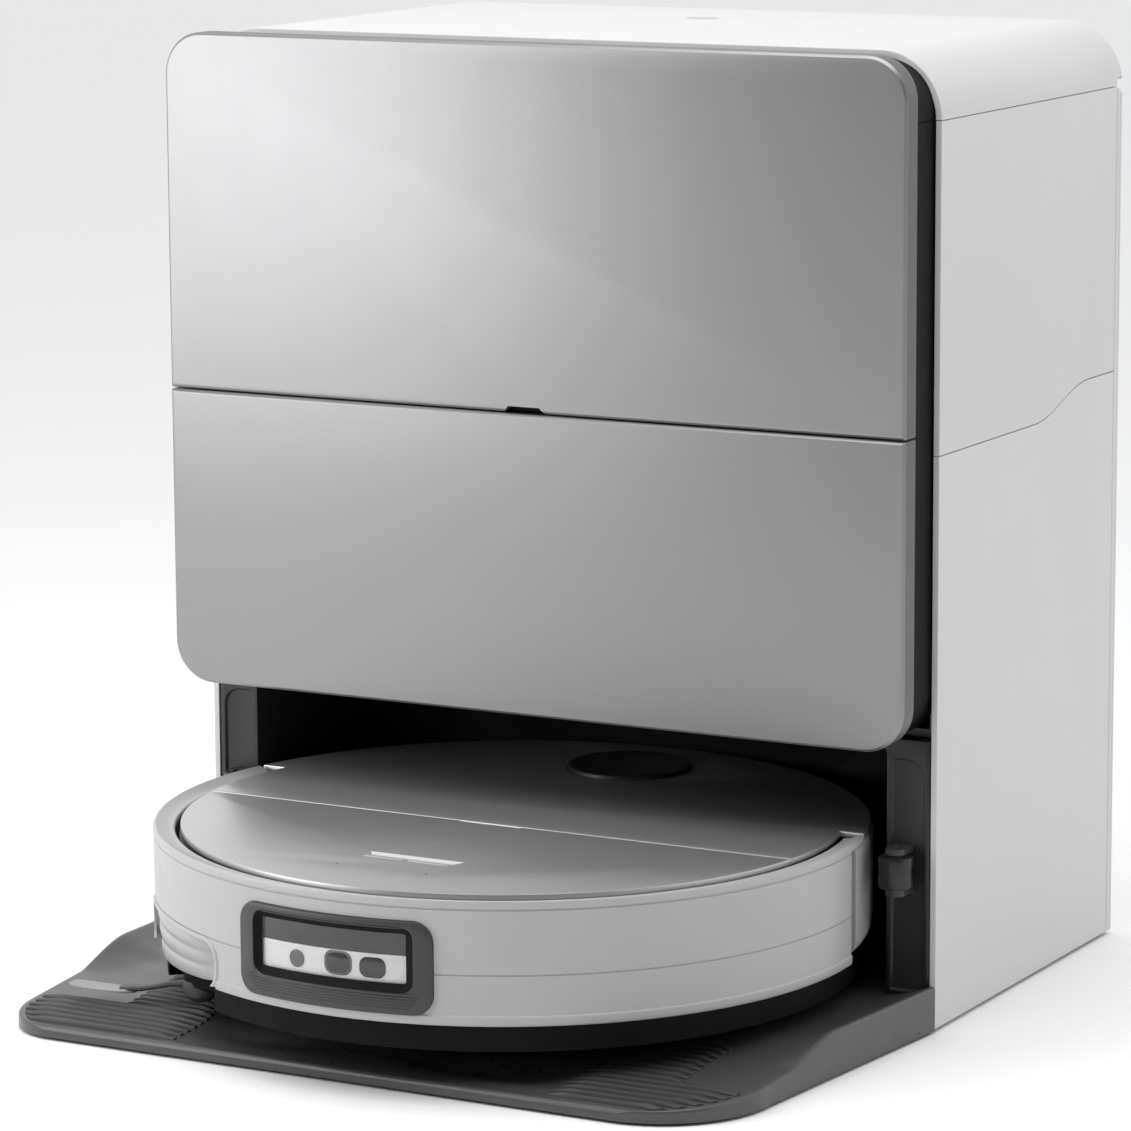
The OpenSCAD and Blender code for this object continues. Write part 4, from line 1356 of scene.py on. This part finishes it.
# %% Main brush
low, high = box_mm("main_brush")
cy, cz = (low.y + high.y) / 2, (low.z + high.z) / 2
fin_r = (high.z - low.z) / 2
axle = turned("main_brush_core", [(0.01, low.x), (3, low.x), (3, low.x + 6), (6, low.x + 7), (8,
    low.x + 9), (8, high.x - 9), (6, high.x - 7),
                                  (3, high.x - 6), (3, high.x), (0.01, high.x)], about_x(cy, cz), step=15)
fins = []
for k in range(6):
    rings = []
    for i in range(25):
        x = low.x + 8 + (high.x - low.x - 16) * i / 24
        twist = math.radians(60 * k + 50 * abs(i / 12 - 1))
        ring = []
        for r, half_thick in (
            (7.0, 1.6), (fin_r - 0.4, 0.9), (fin_r, 0.5), (fin_r, -0.5), (fin_r - 0.4, -0.9), (7.0, -1.6)
        ):
            a = twist + half_thick / r
            ring.append(Vector((x, cy + r * math.cos(a), cz + r * math.sin(a))))
        rings.append(ring)
    fins.append(loft("fin", rings))
joined(axle, *fins)
piece(axle, "main_brush", "brush_rubber", "main_brush")

# %% [markdown]
# A mop pad is a disc of looped cloth that bulges at its rim and is pressed flat under the middle.
# The pad is turned from a soft section and its surface is then pushed about by a little noise.

# %% Mop pads
for hand in ("left", "right"):
    low, high = box_mm("mop_" + hand)
    cx, cy = (low.x + high.x) / 2, (low.y + high.y) / 2
    r, z = (high.x - low.x) / 2, low.z
    section = [
        (14, z + 0.4), (24, z), (r - 12, z), (r - 5, z + 0.2), (r - 1.6, z + 1.2), (r - 0.4, z + 3),
        (r - 0.8, z + 5), (r - 3, z + 6.6), (r - 8, z + 6.9), (14, z + 6.9)
    ]
    pad = turned("mop_pad_" + hand, section, about_z(cx, cy), step=4)
    for v in pad.data.vertices:
        v.co.z += 0.00035 * noise.noise(v.co * 260.0)
    piece(pad, "mop_" + hand, "mop_cloth", "mop_" + hand)
    plate = turned("mop_plate_" + hand, [(0.01, z + 5), (14.2, z + 5), (14.2, z + 6.8), (r - 6, z + 6.8),
        (r - 5, z + 7.6), (r - 5, z + 9.2), (r - 6, z + 9.8), (16, z + 9.8),
                                         (8, z + 11), (6, z + 13), (6, high.z - 0.6), (5.4, high.z),
                                             (0.01, high.z)], about_z(cx, cy), step=8)
    piece(plate, "mop_" + hand, "grey_plastic")

# %% [markdown]
# ## Inside the dock
# Behind the lower door hangs a disposable dust bag of pressed paper cloth. It is not a block: its faces
# bulge between pinched corners, and creases run to its collar. A grid on each face, pushed out by a crown
# and pulled in along the creases, gives that without a simulation, which so stiff a paper hardly needs.

# %% Dust bag
bag_low, bag_high = box_mm("dust_bag")
bag_mid = (bag_low + bag_high) / 2
bag_half = (bag_high - bag_low) / 2
work = bmesh.new()
bmesh.ops.create_cube(work, size=2.0)
bmesh.ops.subdivide_edges(work, edges=work.edges, cuts=23, use_grid_fill=True)
for v in work.verts:
    u = v.co.copy()
    soft = Vector((u.x, u.y, u.z)) * 0.93
    crown = [(1 - u[(i + 1) % 3] ** 2) * (1 - u[(i + 2) % 3] ** 2) for i in range(3)]
    pushed = Vector([soft[i] + math.copysign(0.07 * crown[i] * abs(u[i]) ** 6, u[i]) for i in range(3)])
    crease = 0.012 * noise.noise(Vector((u.x * 3.1, u.y * 3.1, u.z * 5.0))) - 0.01 * abs(noise.noise(u * 4.0))
    v.co = Vector(
        [(bag_mid[i] + bag_half[i] * max(-1, min(1, pushed[i] * (1 + crease)))) * MM for i in range(3)]
    )
bag_mesh = bpy.data.meshes.new("dust_bag_filled")
work.to_mesh(bag_mesh)
work.free()
bag = bpy.data.objects.new("dust_bag_filled", bag_mesh)
scene.collection.objects.link(bag)
piece(bag, "dock", "bag_cloth", "dust_bag")
collar = block(
    "dust_bag_collar", bag_mid.x - 34, bag_mid.x + 34, bag_low.y - 1.4, bag_low.y + 3, bag_mid.z - 34,
    bag_mid.z + 34, 1.0
)
piece(collar, "dock", "grey_plastic")

# %% [markdown]
# ## Parts that stay as they are
# Everything else has the right shape already: frames, tanks, boards, brackets, pins. Each takes the
# finish of its slot, so no part is left with the plain grey that it came with.

# %% Finishes for the remaining parts
slot_of = {s["node"]: s["material_slot"] for s in frame["record"]["subparts"]}
kept = 0
for name, node in frame["nodes"].items():
    if node.hide_render:
        continue
    node.data.materials.clear()
    node.data.materials.append(finishes[slot_of[name]])
    kept += 1
print("parts kept from the frame:", kept)

# %% [markdown]
# ## Floor and light
# A satin surface looks like what it mirrors, so the light does half of the work. A tall soft box at the
# left brightens the left half of the doors and lets the right half fall into grey. The room is bright
# behind and dims towards the front, as if a black flag hung there, so that the satin plates have
# something dark to mirror. The floor is plain pale paper.

# %% Floor, lamps and room
floor_mesh = bpy.data.meshes.new("studio_floor")
floor_mesh.from_pydata([(-30, -30, 0), (30, -30, 0), (30, 30, 0), (-30, 30, 0)], [], [(0, 1, 2, 3)])
floor = bpy.data.objects.new("studio_floor", floor_mesh)
scene.collection.objects.link(floor)
floor_mesh.materials.append(
    moulded("studio_paper", (0.93, 0.93, 0.93), 0.8, drift=0.003, bump=0.0, worn=0.0, Specular_IOR_Level=0.1))


def soft_box(name, place, aim, wide, tall, power):
    lamp = bpy.data.lights.new(name, "AREA")
    lamp.shape = "RECTANGLE"
    lamp.size, lamp.size_y, lamp.energy = wide, tall, power
    made = bpy.data.objects.new(name, lamp)
    scene.collection.objects.link(made)
    made.location = place
    made.rotation_euler = (Vector(aim) - Vector(place)).to_track_quat("-Z", "Y").to_euler()
    return made


dock_middle = (0.0, 0.0, 0.24)
soft_box("left_box", (-0.72, -0.78, 0.6), (-0.05, 0.0, 0.42), 0.62, 0.85, 6.3)
soft_box("top_box", (0.1, -0.5, 1.6), dock_middle, 1.3, 1.3, 12)
world = bpy.data.worlds.new("studio")
world.use_nodes = True
sky = world.node_tree.nodes
sky_links = world.node_tree.links
facing = sky.new("ShaderNodeVectorMath")
facing.operation = "DOT_PRODUCT"
facing.inputs[1].default_value = Vector((0.1, -0.95, -0.1)).normalized()
sky_links.new(sky.new("ShaderNodeTexCoord").outputs["Generated"], facing.inputs[0])
flag = sky.new("ShaderNodeMapRange")
flag.interpolation_type = "SMOOTHSTEP"
flag.inputs["From Min"].default_value = 0.0
flag.inputs["From Max"].default_value = 0.68
flag.inputs["To Min"].default_value = 1.12
flag.inputs["To Max"].default_value = 0.04
sky_links.new(facing.outputs["Value"], flag.inputs["Value"])
sky_links.new(flag.outputs["Result"], sky["Background"].inputs["Strength"])
sky["Background"].inputs["Color"].default_value = (1, 1, 1, 1)
scene.world = world
